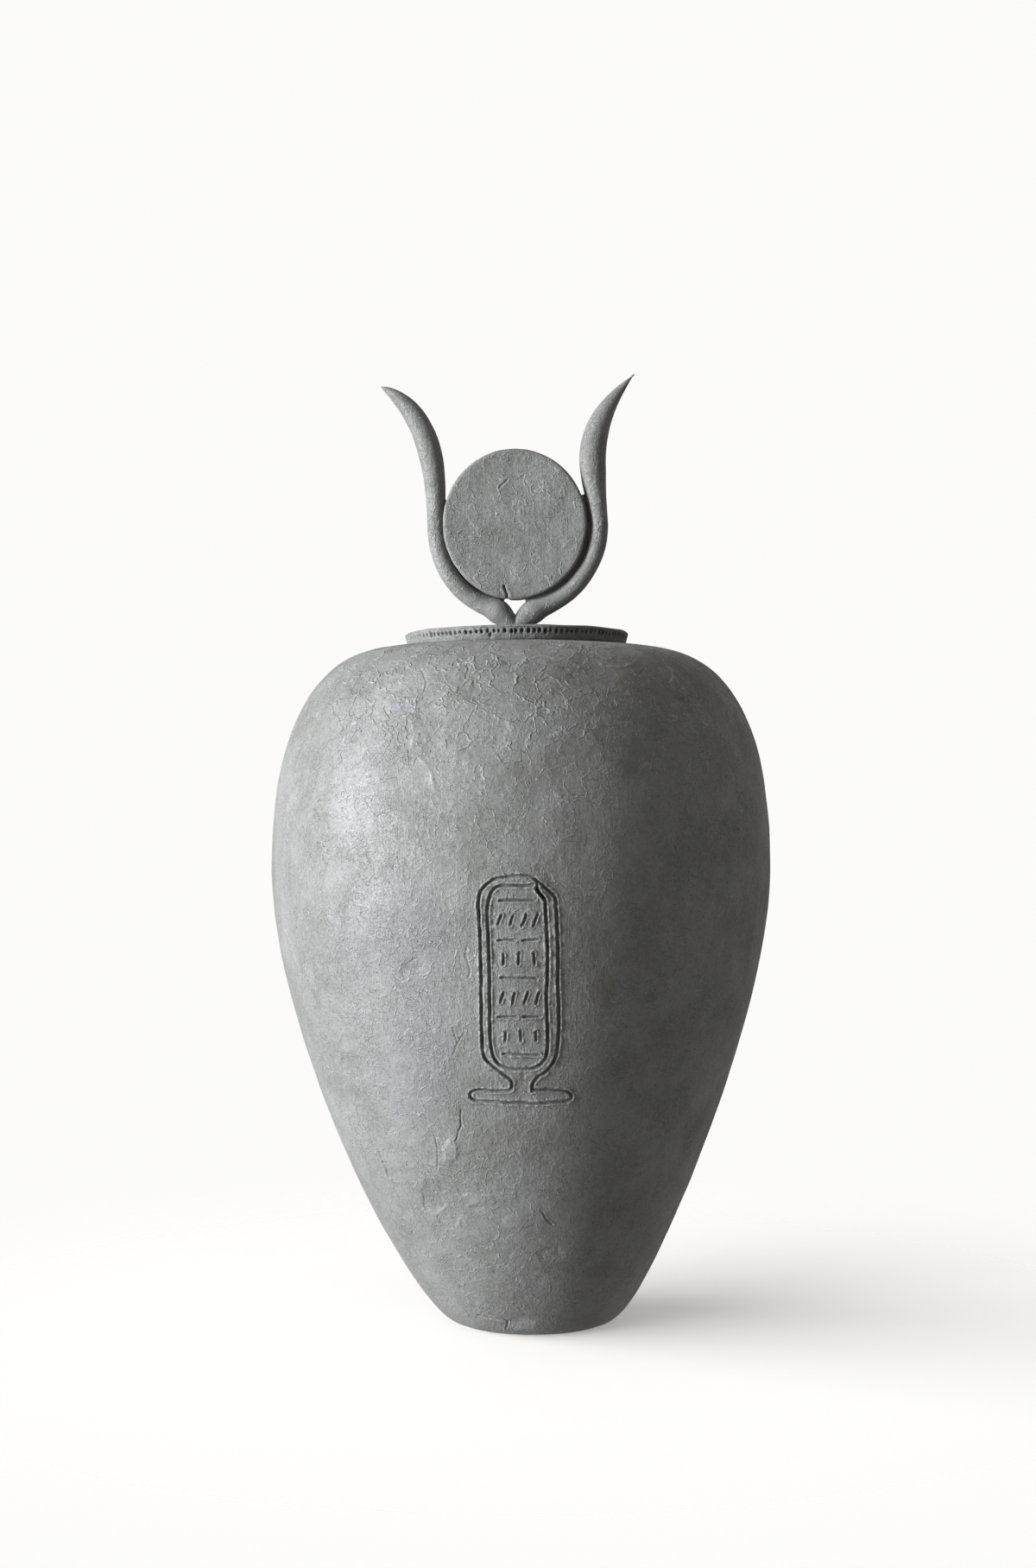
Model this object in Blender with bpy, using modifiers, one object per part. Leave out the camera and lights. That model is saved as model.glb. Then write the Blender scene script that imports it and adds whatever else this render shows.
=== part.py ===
"""A tall clay jar with a small foot, wide shoulders and an incised oval frame, closed by a loose
lid that carries two horns and a sun disc. Metres, +Z up, the front faces -Y, and the origin is
on the ground under the belly's axis."""

import math

import bmesh
import bpy
import numpy as np

# Jar: the outside
FOOT_RADIUS = 0.0433
FOOT_EDGE_ROUNDING = 0.0176
FOOT_WALL_DEG = 40.1
FOOT_DRIFT = 0.007
BELLY_RADIUS = 0.1553
BELLY_HEIGHT = 0.2834
SEAT_RADIUS = 0.0801
SEAT_HEIGHT = 0.4173

# Jar: how full the wall's curves are, as shares of the spans that they cross
WALL_FULLNESS_AT_FOOT = 0.127
WALL_FULLNESS_UNDER_BELLY = 0.330
WALL_FULLNESS_OVER_BELLY = 0.328
WALL_FULLNESS_AT_SHOULDER = 0.889

# Jar: the hollow
WALL = 0.008
FLOOR = 0.010
MOUTH_RADIUS = 0.055
MOUTH_ROUNDING = 0.002

# Incised oval frame that stands on a neck and a bar
BAR_LENGTH = 0.0592
BAR_THICKNESS = 0.0068
BAR_BOTTOM_HEIGHT = 0.1510
NECK_WIDTH = 0.0117
NECK_HEIGHT = 0.0074
FRAME_WIDTH = 0.0436
FRAME_HEIGHT = 0.1155
FRAME_BOTTOM_HEIGHT = BAR_BOTTOM_HEIGHT + BAR_THICKNESS + NECK_HEIGHT
FRAME_ROUNDING = 0.0155
FRAME_BAND = 0.0056
FRAME_LEAN = 0.0024
GROOVE_DEPTH = 0.0013

# Rows of plain strokes inside the frame, from the bottom row up, and over again
ROW_PATTERN = (
    "lying",
    "upright upright upright",
    "lying lying",
    "slanted slanted slanted slanted",
)
STROKE_ROWS = 9
STROKE_DEPTH = 0.0009
STROKE_MARGIN = 0.0030
TICK_LENGTH = 0.0060
TICK_SLANT_DEG = 18
LYING_STROKE_SHARE = 0.76

# Lid plate and the ring under it that keeps it in the mouth
LID_RADIUS = 0.0696
LID_THICKNESS = 0.0095
LID_UNDERCUT = 0.0020
LID_EDGE_ROUNDING = 0.0025
LID_SEAT_GAP = 0.0003
FLANGE_PLAY = 0.0045
FLANGE_DEPTH = 0.012
FLANGE_WALL = 0.006
LID_SLIP_SHARE = 0.6

# Sun disc
DISC_HALF_WIDTH = 0.0452
DISC_HALF_HEIGHT = 0.0472
DISC_THICKNESS = 0.0140
DISC_EDGE_ROUNDING = 0.0040
DISC_LIFT = 0.0215
DISC_OFFSET = -0.0012

# Clay pressed into the crack between the disc and each horn
SEAM_RADIUS = 0.0032
SEAM_DROP_UNDER = 0.0022
SEAM_DROP_BESIDE = 0.0006

# Horns. A gap is the room between the disc's edge and the horn, and less than none is a bite.
HORN_RADIUS = 0.0057
HORN_ROOT_DEG = 50
HORN_ROOT_PULL = 0.0065
HORN_SINK = 0.0030
HORN_TIP_RADIUS = 0.0004
LEFT_HORN = {
    "side": -1,
    "under_deg": 72,
    "gap_under": 0.0018,
    "gap_beside": -0.0019,
    "full_radius": 0.0074,
    "full_at": 0.50,
    "tip_bluntness": 0.70,
    "tip_out": 0.0836,
    "tip_up": 0.0863,
    "tip_deg": 26.1,
    "start_lean_deg": 3.0,
    "start_pull": 0.016,
    "tip_pull": 0.0422,
    "seam_from_deg": 79,
    "seam_to_deg": -20,
}
RIGHT_HORN = {
    "side": 1,
    "under_deg": 70,
    "gap_under": 0.0026,
    "gap_beside": 0.0018,
    "full_radius": 0.0083,
    "full_at": 0.42,
    "tip_bluntness": 1.0,
    "tip_out": 0.0745,
    "tip_up": 0.0942,
    "tip_deg": 45.7,
    "start_lean_deg": -5.0,
    "start_pull": 0.0363,
    "tip_pull": 0.0516,
    "seam_from_deg": 79,
    "seam_to_deg": -24,
}

# How finely the round forms are cut into flats
TURN_STEPS = 60
FOOT_STEPS = 4
LOWER_STEPS = 10
UPPER_STEPS = 12
ROUNDING_STEPS = 3
DISC_STEPS = 48
HORN_ROOT_STEPS = 4
HORN_ARC_STEPS = 9
HORN_SWEEP_STEPS = 14
HORN_BEVEL_RESOLUTION = 4
CORNER_STEPS = 5
GROOVE_STEP = 0.014
MERGE = 0.00001
SHARP_ANGLE = math.radians(40)

CLAY = (0.155, 0.155, 0.150)
LID_CLAY = (0.150, 0.150, 0.147)


def clear_scene():
    for item in list(bpy.context.scene.objects):
        bpy.data.objects.remove(item)


def new_collection(name, helper=False):
    made = bpy.data.collections.new(name)
    bpy.context.scene.collection.children.link(made)
    made.hide_render = helper
    return made


def add_object(name, mesh, collection):
    item = bpy.data.objects.new(name, mesh)
    collection.objects.link(item)
    if collection.hide_render:
        item.hide_render = True
        item.display_type = "WIRE"
    return item


def as_mesh(item, collection):
    """The evaluated form of an object as a plain mesh object of the same name and place."""
    bpy.context.view_layer.update()
    graph = bpy.context.evaluated_depsgraph_get()
    mesh = bpy.data.meshes.new_from_object(item.evaluated_get(graph))
    form = bmesh.new()
    form.from_mesh(mesh)
    bmesh.ops.remove_doubles(form, verts=form.verts, dist=MERGE)
    form.to_mesh(mesh)
    form.free()
    name, place = item.name, item.matrix_world.copy()
    bpy.data.objects.remove(item)
    made = add_object(name, mesh, collection)
    made.matrix_world = place
    return made


def bezier(start, start_handle, end_handle, end, steps):
    t = np.linspace(0, 1, steps + 1)[:, None]
    points = [np.array(point, float) for point in (start, start_handle, end_handle, end)]
    weights = [(1 - t) ** 3, 3 * (1 - t) ** 2 * t, 3 * (1 - t) * t**2, t**3]
    return sum(weight * point for weight, point in zip(weights, points))


def arc(centre, radius, start_deg, end_deg, steps):
    turn = np.radians(np.linspace(start_deg, end_deg, steps + 1))
    return np.stack([centre[0] + radius * np.cos(turn), centre[1] + radius * np.sin(turn)], axis=1)


def outer_wall(detail=1):
    """Radius and height down the foot's edge, wall and shoulder, from the foot up to the seat."""
    foot_centre = (FOOT_RADIUS, FOOT_EDGE_ROUNDING)
    foot = arc(foot_centre, FOOT_EDGE_ROUNDING, -90, FOOT_WALL_DEG - 90, FOOT_STEPS * detail)
    belly = np.array([BELLY_RADIUS, BELLY_HEIGHT])
    seat = np.array([SEAT_RADIUS, SEAT_HEIGHT])
    foot_way = np.array([math.cos(math.radians(FOOT_WALL_DEG)), math.sin(math.radians(FOOT_WALL_DEG))])
    up = np.array([0.0, 1.0])
    out = np.array([1.0, 0.0])
    lower = bezier(
        foot[-1],
        foot[-1] + foot_way * WALL_FULLNESS_AT_FOOT * np.linalg.norm(belly - foot[-1]),
        belly - up * WALL_FULLNESS_UNDER_BELLY * (BELLY_HEIGHT - foot[-1][1]),
        belly,
        LOWER_STEPS * detail,
    )
    upper = bezier(
        belly,
        belly + up * WALL_FULLNESS_OVER_BELLY * (SEAT_HEIGHT - BELLY_HEIGHT),
        seat + out * WALL_FULLNESS_AT_SHOULDER * (BELLY_RADIUS - SEAT_RADIUS),
        seat,
        UPPER_STEPS * detail,
    )
    return np.concatenate([foot, lower[1:], upper[1:]])


def inner_wall(outer):
    """The outer wall moved in by the wall's thickness, from the floor's corner up to the mouth."""
    along = np.gradient(outer, axis=0)
    inward = np.stack([-along[:, 1], along[:, 0]], axis=1)
    inner = outer + WALL * inward / np.linalg.norm(inward, axis=1)[:, None]
    floor_corner = (np.interp(FLOOR, inner[:, 1], inner[:, 0]), FLOOR)
    neck_corner = (MOUTH_RADIUS, SEAT_HEIGHT - WALL)
    between = [point for point in inner if point[1] > FLOOR and point[0] > MOUTH_RADIUS]
    return np.array([floor_corner] + between + [neck_corner])


def turned(name, profile, collection):
    """A profile of radii and heights, turned about the Z axis into one closed mesh."""
    mesh = bpy.data.meshes.new(name)
    corners = [(radius, 0, height) for radius, height in profile]
    mesh.from_pydata(corners, [(i, i + 1) for i in range(len(corners) - 1)], [])
    item = add_object(name, mesh, collection)
    screw = item.modifiers.new("turn", "SCREW")
    screw.steps = screw.render_steps = TURN_STEPS
    screw.use_merge_vertices = True
    screw.merge_threshold = MERGE
    return as_mesh(item, collection)


def foot_shift(height):
    """How far the foot has slumped sideways at this height. Nothing moves at the belly or above."""
    below = np.clip((BELLY_HEIGHT - height) / BELLY_HEIGHT, 0, 1)
    return FOOT_DRIFT * below**3


def on_front_wall(x, height, wall):
    """The point on the jar's front at this height and sideways place."""
    radius = np.interp(height, wall[:, 1], wall[:, 0])
    sideways = x - foot_shift(height)
    return x, -math.sqrt(radius**2 - sideways**2), height


def box_with_round_corners(width, bottom, height, rounding):
    """Counter-clockwise outline from the bottom's middle, as seen from the front."""
    half = width / 2 - rounding
    low = bottom + rounding
    top = bottom + height - rounding
    quarters = [(half, low, -90), (half, top, 0), (-half, top, 90), (-half, low, 180)]
    return np.concatenate([arc((x, z), rounding, turn, turn + 90, CORNER_STEPS) for x, z, turn in quarters])


def frame_outline():
    """The frame's outer line, which runs on down the neck and round the bar."""
    ring = box_with_round_corners(FRAME_WIDTH, FRAME_BOTTOM_HEIGHT, FRAME_HEIGHT, FRAME_ROUNDING)
    bar_end = BAR_THICKNESS / 2
    bar_middle = BAR_BOTTOM_HEIGHT + bar_end
    bar_centre = BAR_LENGTH / 2 - bar_end
    neck = NECK_WIDTH / 2
    left = arc((-bar_centre, bar_middle), bar_end, 90, 270, CORNER_STEPS)
    right = arc((bar_centre, bar_middle), bar_end, -90, 90, CORNER_STEPS)
    bar_top = BAR_BOTTOM_HEIGHT + BAR_THICKNESS
    beside_neck = neck + 2 * GROOVE_DEPTH
    top_half = FRAME_BOTTOM_HEIGHT + FRAME_HEIGHT / 2
    ring = [point for point in ring if abs(point[0]) > beside_neck or point[1] > top_half]
    before = [(neck, FRAME_BOTTOM_HEIGHT)]
    after = [(-neck, FRAME_BOTTOM_HEIGHT), (-neck, bar_top)]
    return np.concatenate([before, ring, after, left, right, [(neck, bar_top)]])


def stroke_lines():
    """The two ends of each plain stroke, row by row from the bottom."""
    half = FRAME_WIDTH / 2 - FRAME_BAND - STROKE_MARGIN
    low = FRAME_BOTTOM_HEIGHT + FRAME_BAND + STROKE_MARGIN
    high = FRAME_BOTTOM_HEIGHT + FRAME_HEIGHT - FRAME_BAND - STROKE_MARGIN
    slant = math.tan(math.radians(TICK_SLANT_DEG))
    lines = []
    for row in range(STROKE_ROWS):
        kinds = ROW_PATTERN[row % len(ROW_PATTERN)].split()
        room = 2 * half / len(kinds)
        for place, kind in enumerate(kinds):
            reach = {
                "lying": np.array([LYING_STROKE_SHARE * room / 2, 0]),
                "upright": np.array([0, TICK_LENGTH / 2]),
                "slanted": np.array([slant * TICK_LENGTH / 2, TICK_LENGTH / 2]),
            }[kind]
            middle = np.array([-half + (place + 0.5) * room, low + (row + 0.5) * (high - low) / STROKE_ROWS])
            lines.append([middle - reach, middle + reach])
    return lines


def on_wall_line(points, wall, closed):
    """A flat line laid on the jar's front, with points close enough to follow the wall."""
    ends = list(points) + ([points[0]] if closed else [])
    filled = []
    for start, end in zip(ends[:-1], ends[1:]):
        start, end = np.array(start), np.array(end)
        count = max(1, math.ceil(np.linalg.norm(end - start) / GROOVE_STEP))
        filled += [start + (end - start) * i / count for i in range(count)]
    if not closed:
        filled.append(np.array(ends[-1]))
    laid = []
    for x, height in filled:
        lean = -FRAME_LEAN * (height - FRAME_BOTTOM_HEIGHT) / FRAME_HEIGHT
        laid.append(on_front_wall(x + lean, height, wall))
    return [point for i, point in enumerate(laid) if math.dist(point, laid[i - 1]) > MERGE]


def tube(name, points, radii, collection, closed=False, resolution=0):
    """A closed tube through the points, made a mesh."""
    curve = bpy.data.curves.new(name, "CURVE")
    curve.dimensions = "3D"
    curve.bevel_depth = 1
    curve.bevel_resolution = resolution
    curve.use_fill_caps = not closed
    spline = curve.splines.new("POLY")
    spline.points.add(len(points) - 1)
    for place, point, radius in zip(spline.points, points, radii):
        place.co = (*point, 1)
        place.radius = radius
    spline.use_cyclic_u = closed
    return as_mesh(add_object(name, curve, collection), collection)


def joined(name, items):
    """Several meshes that don't touch, put into the first one's object."""
    form = bmesh.new()
    for item in items:
        form.from_mesh(item.data)
    bmesh.ops.recalc_face_normals(form, faces=form.faces)
    form.to_mesh(items[0].data)
    form.free()
    for item in items[1:]:
        bpy.data.objects.remove(item)
    items[0].name = name
    return items[0]


def boolean(item, other, operation):
    modifier = item.modifiers.new(other.name, "BOOLEAN")
    modifier.operation = operation
    modifier.object = other


def clay_material(name, colour):
    material = bpy.data.materials.new(name)
    material.use_nodes = True
    shader = material.node_tree.nodes["Principled BSDF"]
    shader.inputs["Base Color"].default_value = (*colour, 1)
    shader.inputs["Roughness"].default_value = 0.62
    shader.inputs["Metallic"].default_value = 0
    return material


def finish(item, colour):
    item.data.materials.append(clay_material(item.name, colour))
    item.data.shade_smooth()
    item.data.set_sharp_from_angle(angle=SHARP_ANGLE)


def make_jar(parts, cutters):
    outer = outer_wall()
    lip_centre = (MOUTH_RADIUS + MOUTH_ROUNDING, SEAT_HEIGHT - MOUTH_ROUNDING)
    lip = arc(lip_centre, MOUTH_ROUNDING, 180, 90, ROUNDING_STEPS)
    profile = np.concatenate([[(0, FLOOR)], inner_wall(outer[::2]), lip, outer[::-1], [(0, 0)]])
    jar = turned("vessel_body", profile, parts)
    for corner in jar.data.vertices:
        corner.co.x += foot_shift(corner.co.z)

    wall = outer_wall(detail=8)
    inner_frame = box_with_round_corners(
        FRAME_WIDTH - 2 * FRAME_BAND,
        FRAME_BOTTOM_HEIGHT + FRAME_BAND,
        FRAME_HEIGHT - 2 * FRAME_BAND,
        FRAME_ROUNDING - FRAME_BAND,
    )
    for name, outline in (("frame_outline", frame_outline()), ("frame_inner_line", inner_frame)):
        points = on_wall_line(outline, wall, closed=True)
        groove = tube(name, points, [GROOVE_DEPTH] * len(points), cutters, closed=True)
        boolean(jar, joined(name, [groove]), "DIFFERENCE")
    strokes = []
    for number, line in enumerate(stroke_lines()):
        points = on_wall_line(line, wall, closed=False)
        strokes.append(tube(f"stroke_{number}", points, [STROKE_DEPTH] * len(points), cutters))
    boolean(jar, joined("frame_strokes", strokes), "DIFFERENCE")
    finish(jar, CLAY)


def disc_edge(turn):
    """Distance from the disc's centre to its edge in this direction."""
    return DISC_HALF_WIDTH * DISC_HALF_HEIGHT / np.hypot(
        DISC_HALF_HEIGHT * np.cos(turn), DISC_HALF_WIDTH * np.sin(turn)
    )


def around_disc(centre, horn, below_deg, distance):
    """Points beside the disc, at angles counted down from level on the horn's side."""
    turn = -np.radians(np.asarray(below_deg, float))
    reach = disc_edge(turn) + distance
    sideways = horn["side"] * reach * np.cos(turn)
    return np.stack([centre[0] + sideways, centre[1] + reach * np.sin(turn)], axis=1)


def horn_line(horn, centre, lid_top):
    """Sideways place, height and radius along a horn, from its root in the lid to its tip."""
    side = horn["side"]
    below = np.linspace(horn["under_deg"], 0, HORN_ARC_STEPS + 1)
    ease = 0.5 + 0.5 * np.cos(np.pi * (1 - below / horn["under_deg"]))
    gap = horn["gap_beside"] + (horn["gap_under"] - horn["gap_beside"]) * ease
    hug = around_disc(centre, horn, below, gap + HORN_RADIUS)

    root = np.array([centre[0], lid_top - HORN_SINK])
    root_turn = math.radians(HORN_ROOT_DEG)
    first_way = (hug[1] - hug[0]) / np.linalg.norm(hug[1] - hug[0])
    rise = bezier(
        root,
        root + HORN_ROOT_PULL * np.array([side * math.cos(root_turn), math.sin(root_turn)]),
        hug[0] - HORN_ROOT_PULL * first_way,
        hug[0],
        HORN_ROOT_STEPS,
    )

    lean = math.radians(horn["start_lean_deg"])
    tip_turn = math.radians(horn["tip_deg"])
    tip = centre + np.array([side * horn["tip_out"], horn["tip_up"]])
    sweep = bezier(
        hug[-1],
        hug[-1] + horn["start_pull"] * np.array([side * math.sin(lean), math.cos(lean)]),
        tip - horn["tip_pull"] * np.array([side * math.cos(tip_turn), math.sin(tip_turn)]),
        tip,
        HORN_SWEEP_STEPS,
    )
    lengths = np.concatenate([[0], np.cumsum(np.linalg.norm(np.diff(sweep, axis=0), axis=1))])
    share = lengths / lengths[-1]
    swell = 0.5 - 0.5 * np.cos(np.pi * np.clip(share / horn["full_at"], 0, 1))
    full = HORN_RADIUS + (horn["full_radius"] - HORN_RADIUS) * swell
    left_over = np.clip((1 - share) / (1 - horn["full_at"]), 0, 1)
    sweep_radii = np.maximum(full * np.sin(np.pi / 2 * left_over ** horn["tip_bluntness"]), HORN_TIP_RADIUS)

    points = np.concatenate([rise[:-1], hug, sweep[1:]])
    radii = np.concatenate([np.full(len(rise) - 1 + len(hug), HORN_RADIUS), sweep_radii[1:]])
    return points, radii


def upright(points):
    """Points of the plane through the jar's axis that faces the front."""
    return [(x, 0, height) for x, height in points]


def make_disc(centre, helpers):
    form = bmesh.new()
    bmesh.ops.create_cone(
        form,
        cap_ends=True,
        segments=DISC_STEPS,
        radius1=1,
        radius2=1,
        depth=DISC_THICKNESS,
    )
    for corner in form.verts:
        across, up, through = corner.co
        corner.co = (centre[0] + across * DISC_HALF_WIDTH, -through, centre[1] + up * DISC_HALF_HEIGHT)
    bmesh.ops.recalc_face_normals(form, faces=form.faces)
    mesh = bpy.data.meshes.new("sun_disc")
    form.to_mesh(mesh)
    form.free()
    disc = add_object("sun_disc", mesh, helpers)
    bevel = disc.modifiers.new("edge", "BEVEL")
    bevel.width = DISC_EDGE_ROUNDING
    bevel.segments = ROUNDING_STEPS
    bevel.limit_method = "ANGLE"
    return disc


def make_lid(parts, helpers):
    lid_bottom = SEAT_HEIGHT + LID_SEAT_GAP
    lid_top = lid_bottom + LID_THICKNESS
    flange_radius = MOUTH_RADIUS - FLANGE_PLAY
    flange_bottom = lid_bottom - FLANGE_DEPTH
    rim_centre = (LID_RADIUS - LID_EDGE_ROUNDING, lid_top - LID_EDGE_ROUNDING)
    rim = arc(rim_centre, LID_EDGE_ROUNDING, 90, 0, ROUNDING_STEPS)
    under = [
        (LID_RADIUS - LID_UNDERCUT, lid_bottom),
        (flange_radius, lid_bottom),
        (flange_radius, flange_bottom),
        (flange_radius - FLANGE_WALL, flange_bottom),
        (flange_radius - FLANGE_WALL, lid_bottom),
        (0, lid_bottom),
    ]
    lid = turned("horned_lid", np.concatenate([[(0, lid_top)], rim, under]), parts)
    lid_x = -LID_SLIP_SHARE * FLANGE_PLAY
    for corner in lid.data.vertices:
        corner.co.x += lid_x

    centre = np.array([lid_x + DISC_OFFSET, lid_top + DISC_LIFT + DISC_HALF_HEIGHT])
    boolean(lid, make_disc(centre, helpers), "UNION")
    for name, horn in (("left", LEFT_HORN), ("right", RIGHT_HORN)):
        points, radii = horn_line(horn, centre, lid_top)
        horn_form = tube(f"{name}_horn", upright(points), radii, helpers, resolution=HORN_BEVEL_RESOLUTION)
        boolean(lid, joined(horn_form.name, [horn_form]), "UNION")
        below = np.linspace(horn["seam_from_deg"], horn["seam_to_deg"], HORN_ARC_STEPS)
        drop = np.linspace(SEAM_DROP_UNDER, SEAM_DROP_BESIDE, HORN_ARC_STEPS)
        seam = around_disc(centre, horn, below, drop)
        seam_form = tube(f"{name}_seam", upright(seam), [SEAM_RADIUS] * len(seam), helpers, resolution=1)
        boolean(lid, joined(seam_form.name, [seam_form]), "UNION")
    finish(lid, LID_CLAY)


clear_scene()
PARTS = new_collection("horned_jar")
CUTTERS = new_collection("cutters", helper=True)
ADDITIONS = new_collection("additions", helper=True)
make_jar(PARTS, CUTTERS)
make_lid(PARTS, ADDITIONS)
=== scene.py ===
"""A tall jar of unglazed grey clay with an incised oval frame, closed by a loose lid that carries
two horns and a sun disc. Metres, +Z up, the front faces -Y."""

import math

import bpy
import numpy as np
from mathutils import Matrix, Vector, kdtree, noise


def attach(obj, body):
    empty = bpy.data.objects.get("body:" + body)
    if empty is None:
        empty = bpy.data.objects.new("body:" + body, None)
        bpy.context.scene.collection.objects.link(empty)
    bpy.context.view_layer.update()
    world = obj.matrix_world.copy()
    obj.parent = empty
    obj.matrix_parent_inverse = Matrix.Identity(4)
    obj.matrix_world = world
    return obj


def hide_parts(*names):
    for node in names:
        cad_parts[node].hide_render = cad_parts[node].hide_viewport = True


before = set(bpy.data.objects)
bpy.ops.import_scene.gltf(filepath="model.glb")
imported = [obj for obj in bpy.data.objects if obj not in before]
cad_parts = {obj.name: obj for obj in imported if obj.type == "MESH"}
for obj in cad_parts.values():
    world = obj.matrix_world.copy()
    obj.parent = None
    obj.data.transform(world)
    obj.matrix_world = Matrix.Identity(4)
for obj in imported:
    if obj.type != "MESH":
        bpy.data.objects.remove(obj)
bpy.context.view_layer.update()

# The jar's wall. A hollow vessel coiled up from a small foot and beaten out to wide shoulders, then
# smoothed with wet fingers and a wooden rib, so that it keeps soft dents and a slightly slumped foot.
MM = 0.001
FOOT_RADIUS = 43.3 * MM
FOOT_EDGE_ROUNDING = 17.6 * MM
FOOT_WALL_TURN = math.radians(40.1)
FOOT_DRIFT = 7 * MM
SHOULDER_DRIFT = 0.7 * MM
SHOULDER_HEIGHT = 372 * MM
SHOULDER_SPAN = 50 * MM
BELLY_TRIM = 0.35
BELLY_TRIM_SPAN = 70 * MM
BELLY_RADIUS = 155.3 * MM
BELLY_HEIGHT = 283.4 * MM
SEAT_RADIUS = 80.1 * MM
SEAT_HEIGHT = 417.3 * MM
FOOT_HANDLE = 0.127
BELLY_HANDLE_DOWN = 0.330
BELLY_HANDLE_UP = 0.328
SEAT_HANDLE = 0.889
WALL = 8 * MM
FLOOR = 10 * MM
MOUTH_RADIUS = 55 * MM
MOUTH_ROUNDING = 2 * MM
JAR_COLUMNS = 216
RING_STEP = 4.5 * MM
INNER_STEP = 17 * MM
DENSE_STEPS = 600


def bezier(start, start_handle, end_handle, end, steps):
    t = np.linspace(0, 1, steps + 1)[:, None]
    points = [np.array(point, float) for point in (start, start_handle, end_handle, end)]
    weights = [(1 - t) ** 3, 3 * (1 - t) ** 2 * t, 3 * (1 - t) * t**2, t**3]
    return sum(weight * point for weight, point in zip(weights, points))


def arc(centre, radius, start, end, steps):
    turn = np.linspace(start, end, steps + 1)
    return np.stack([centre[0] + radius * np.cos(turn), centre[1] + radius * np.sin(turn)], axis=1)


def evenly(line, step):
    """The same line with points at equal steps."""
    lengths = np.concatenate([[0], np.cumsum(np.linalg.norm(np.diff(line, axis=0), axis=1))])
    places = np.linspace(0, lengths[-1], max(2, round(lengths[-1] / step) + 1))
    return np.stack([np.interp(places, lengths, line[:, axis]) for axis in range(line.shape[1])], axis=1)


def outer_wall():
    """Radius and height up the jar's outside, from the foot's underside to the lid's seat."""
    foot_centre = (FOOT_RADIUS, FOOT_EDGE_ROUNDING)
    quarter = math.pi / 2
    foot = arc(foot_centre, FOOT_EDGE_ROUNDING, -quarter, FOOT_WALL_TURN - quarter, DENSE_STEPS // 8)
    belly = np.array([BELLY_RADIUS, BELLY_HEIGHT])
    seat = np.array([SEAT_RADIUS, SEAT_HEIGHT])
    foot_way = np.array([math.cos(FOOT_WALL_TURN), math.sin(FOOT_WALL_TURN)])
    up = np.array([0.0, 1.0])
    out = np.array([1.0, 0.0])
    lower = bezier(
        foot[-1],
        foot[-1] + foot_way * FOOT_HANDLE * np.linalg.norm(belly - foot[-1]),
        belly - up * BELLY_HANDLE_DOWN * (BELLY_HEIGHT - foot[-1][1]),
        belly,
        DENSE_STEPS,
    )
    upper = bezier(
        belly,
        belly + up * BELLY_HANDLE_UP * (SEAT_HEIGHT - BELLY_HEIGHT),
        seat + out * SEAT_HANDLE * (BELLY_RADIUS - SEAT_RADIUS),
        seat,
        DENSE_STEPS,
    )
    return np.concatenate([foot, lower[1:], upper[1:]])


def inner_wall(wall):
    """The wall's inside, from the floor's corner up to the mouth."""
    along = np.gradient(wall, axis=0)
    inward = np.stack([-along[:, 1], along[:, 0]], axis=1)
    inner = wall + WALL * inward / np.linalg.norm(inward, axis=1)[:, None]
    floor_corner = (np.interp(FLOOR, inner[:, 1], inner[:, 0]), FLOOR)
    between = [point for point in inner if point[1] > FLOOR and point[0] > MOUTH_RADIUS]
    return evenly(np.array([floor_corner] + between + [(MOUTH_RADIUS, SEAT_HEIGHT - WALL)]), INNER_STEP)


def drift(height):
    """How far the clay has slumped sideways at this height."""
    below = np.clip((BELLY_HEIGHT - height) / BELLY_HEIGHT, 0, 1)
    shoulder = np.clip(1 - ((height - SHOULDER_HEIGHT) / SHOULDER_SPAN) ** 2, 0, 1)
    return FOOT_DRIFT * below**3 + SHOULDER_DRIFT * shoulder**2


def start_edit(piece, kind):
    bpy.ops.object.select_all(action="DESELECT")
    bpy.context.view_layer.objects.active = piece
    piece.select_set(True)
    bpy.ops.object.mode_set(mode="EDIT")
    bpy.ops.mesh.select_mode(type=kind)


def draw_profile(name, profile):
    """A chain of corners of these radii and heights, pulled out one by one from a single point."""
    bpy.ops.object.select_all(action="DESELECT")
    bpy.ops.mesh.primitive_circle_add(vertices=3, radius=MM)
    piece = bpy.context.object
    piece.name = name
    start_edit(piece, "VERT")
    bpy.ops.mesh.select_all(action="SELECT")
    bpy.ops.mesh.merge(type="CENTER")
    bpy.ops.transform.translate(value=(profile[0][0], 0, profile[0][1]))
    for before, after in zip(profile[:-1], profile[1:]):
        step = (after[0] - before[0], 0, after[1] - before[1])
        bpy.ops.mesh.extrude_region_move(TRANSFORM_OT_translate={"value": step})
    return piece


def throw(piece, columns, centre=(0, 0, 0), axis=(0, 0, 1)):
    """Turns the chain once round the axis into a closed skin that faces out."""
    bpy.ops.mesh.select_all(action="SELECT")
    bpy.ops.mesh.spin(steps=columns, angle=2 * math.pi, center=centre, axis=axis)
    bpy.ops.mesh.select_all(action="SELECT")
    bpy.ops.mesh.remove_doubles(threshold=0.002 * MM)
    bpy.ops.mesh.normals_make_consistent(inside=False)
    bpy.ops.object.mode_set(mode="OBJECT")
    return piece


def corners_of(piece):
    places = np.empty(len(piece.data.vertices) * 3, np.float32)
    piece.data.vertices.foreach_get("co", places)
    return places.reshape(-1, 3).astype(float)


def set_corners(piece, places):
    piece.data.vertices.foreach_set("co", places.astype(np.float32).ravel())
    piece.data.update()


def keep_hollows(piece, height):
    """Keeps how far each corner stands off, in millimetres, for painted shade in the hollows and painted
    highlight on the burrs.
    """
    layer = piece.data.attributes.new("hollow", "FLOAT", "POINT")
    layer.data.foreach_set("value", height.astype(np.float32))


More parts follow.
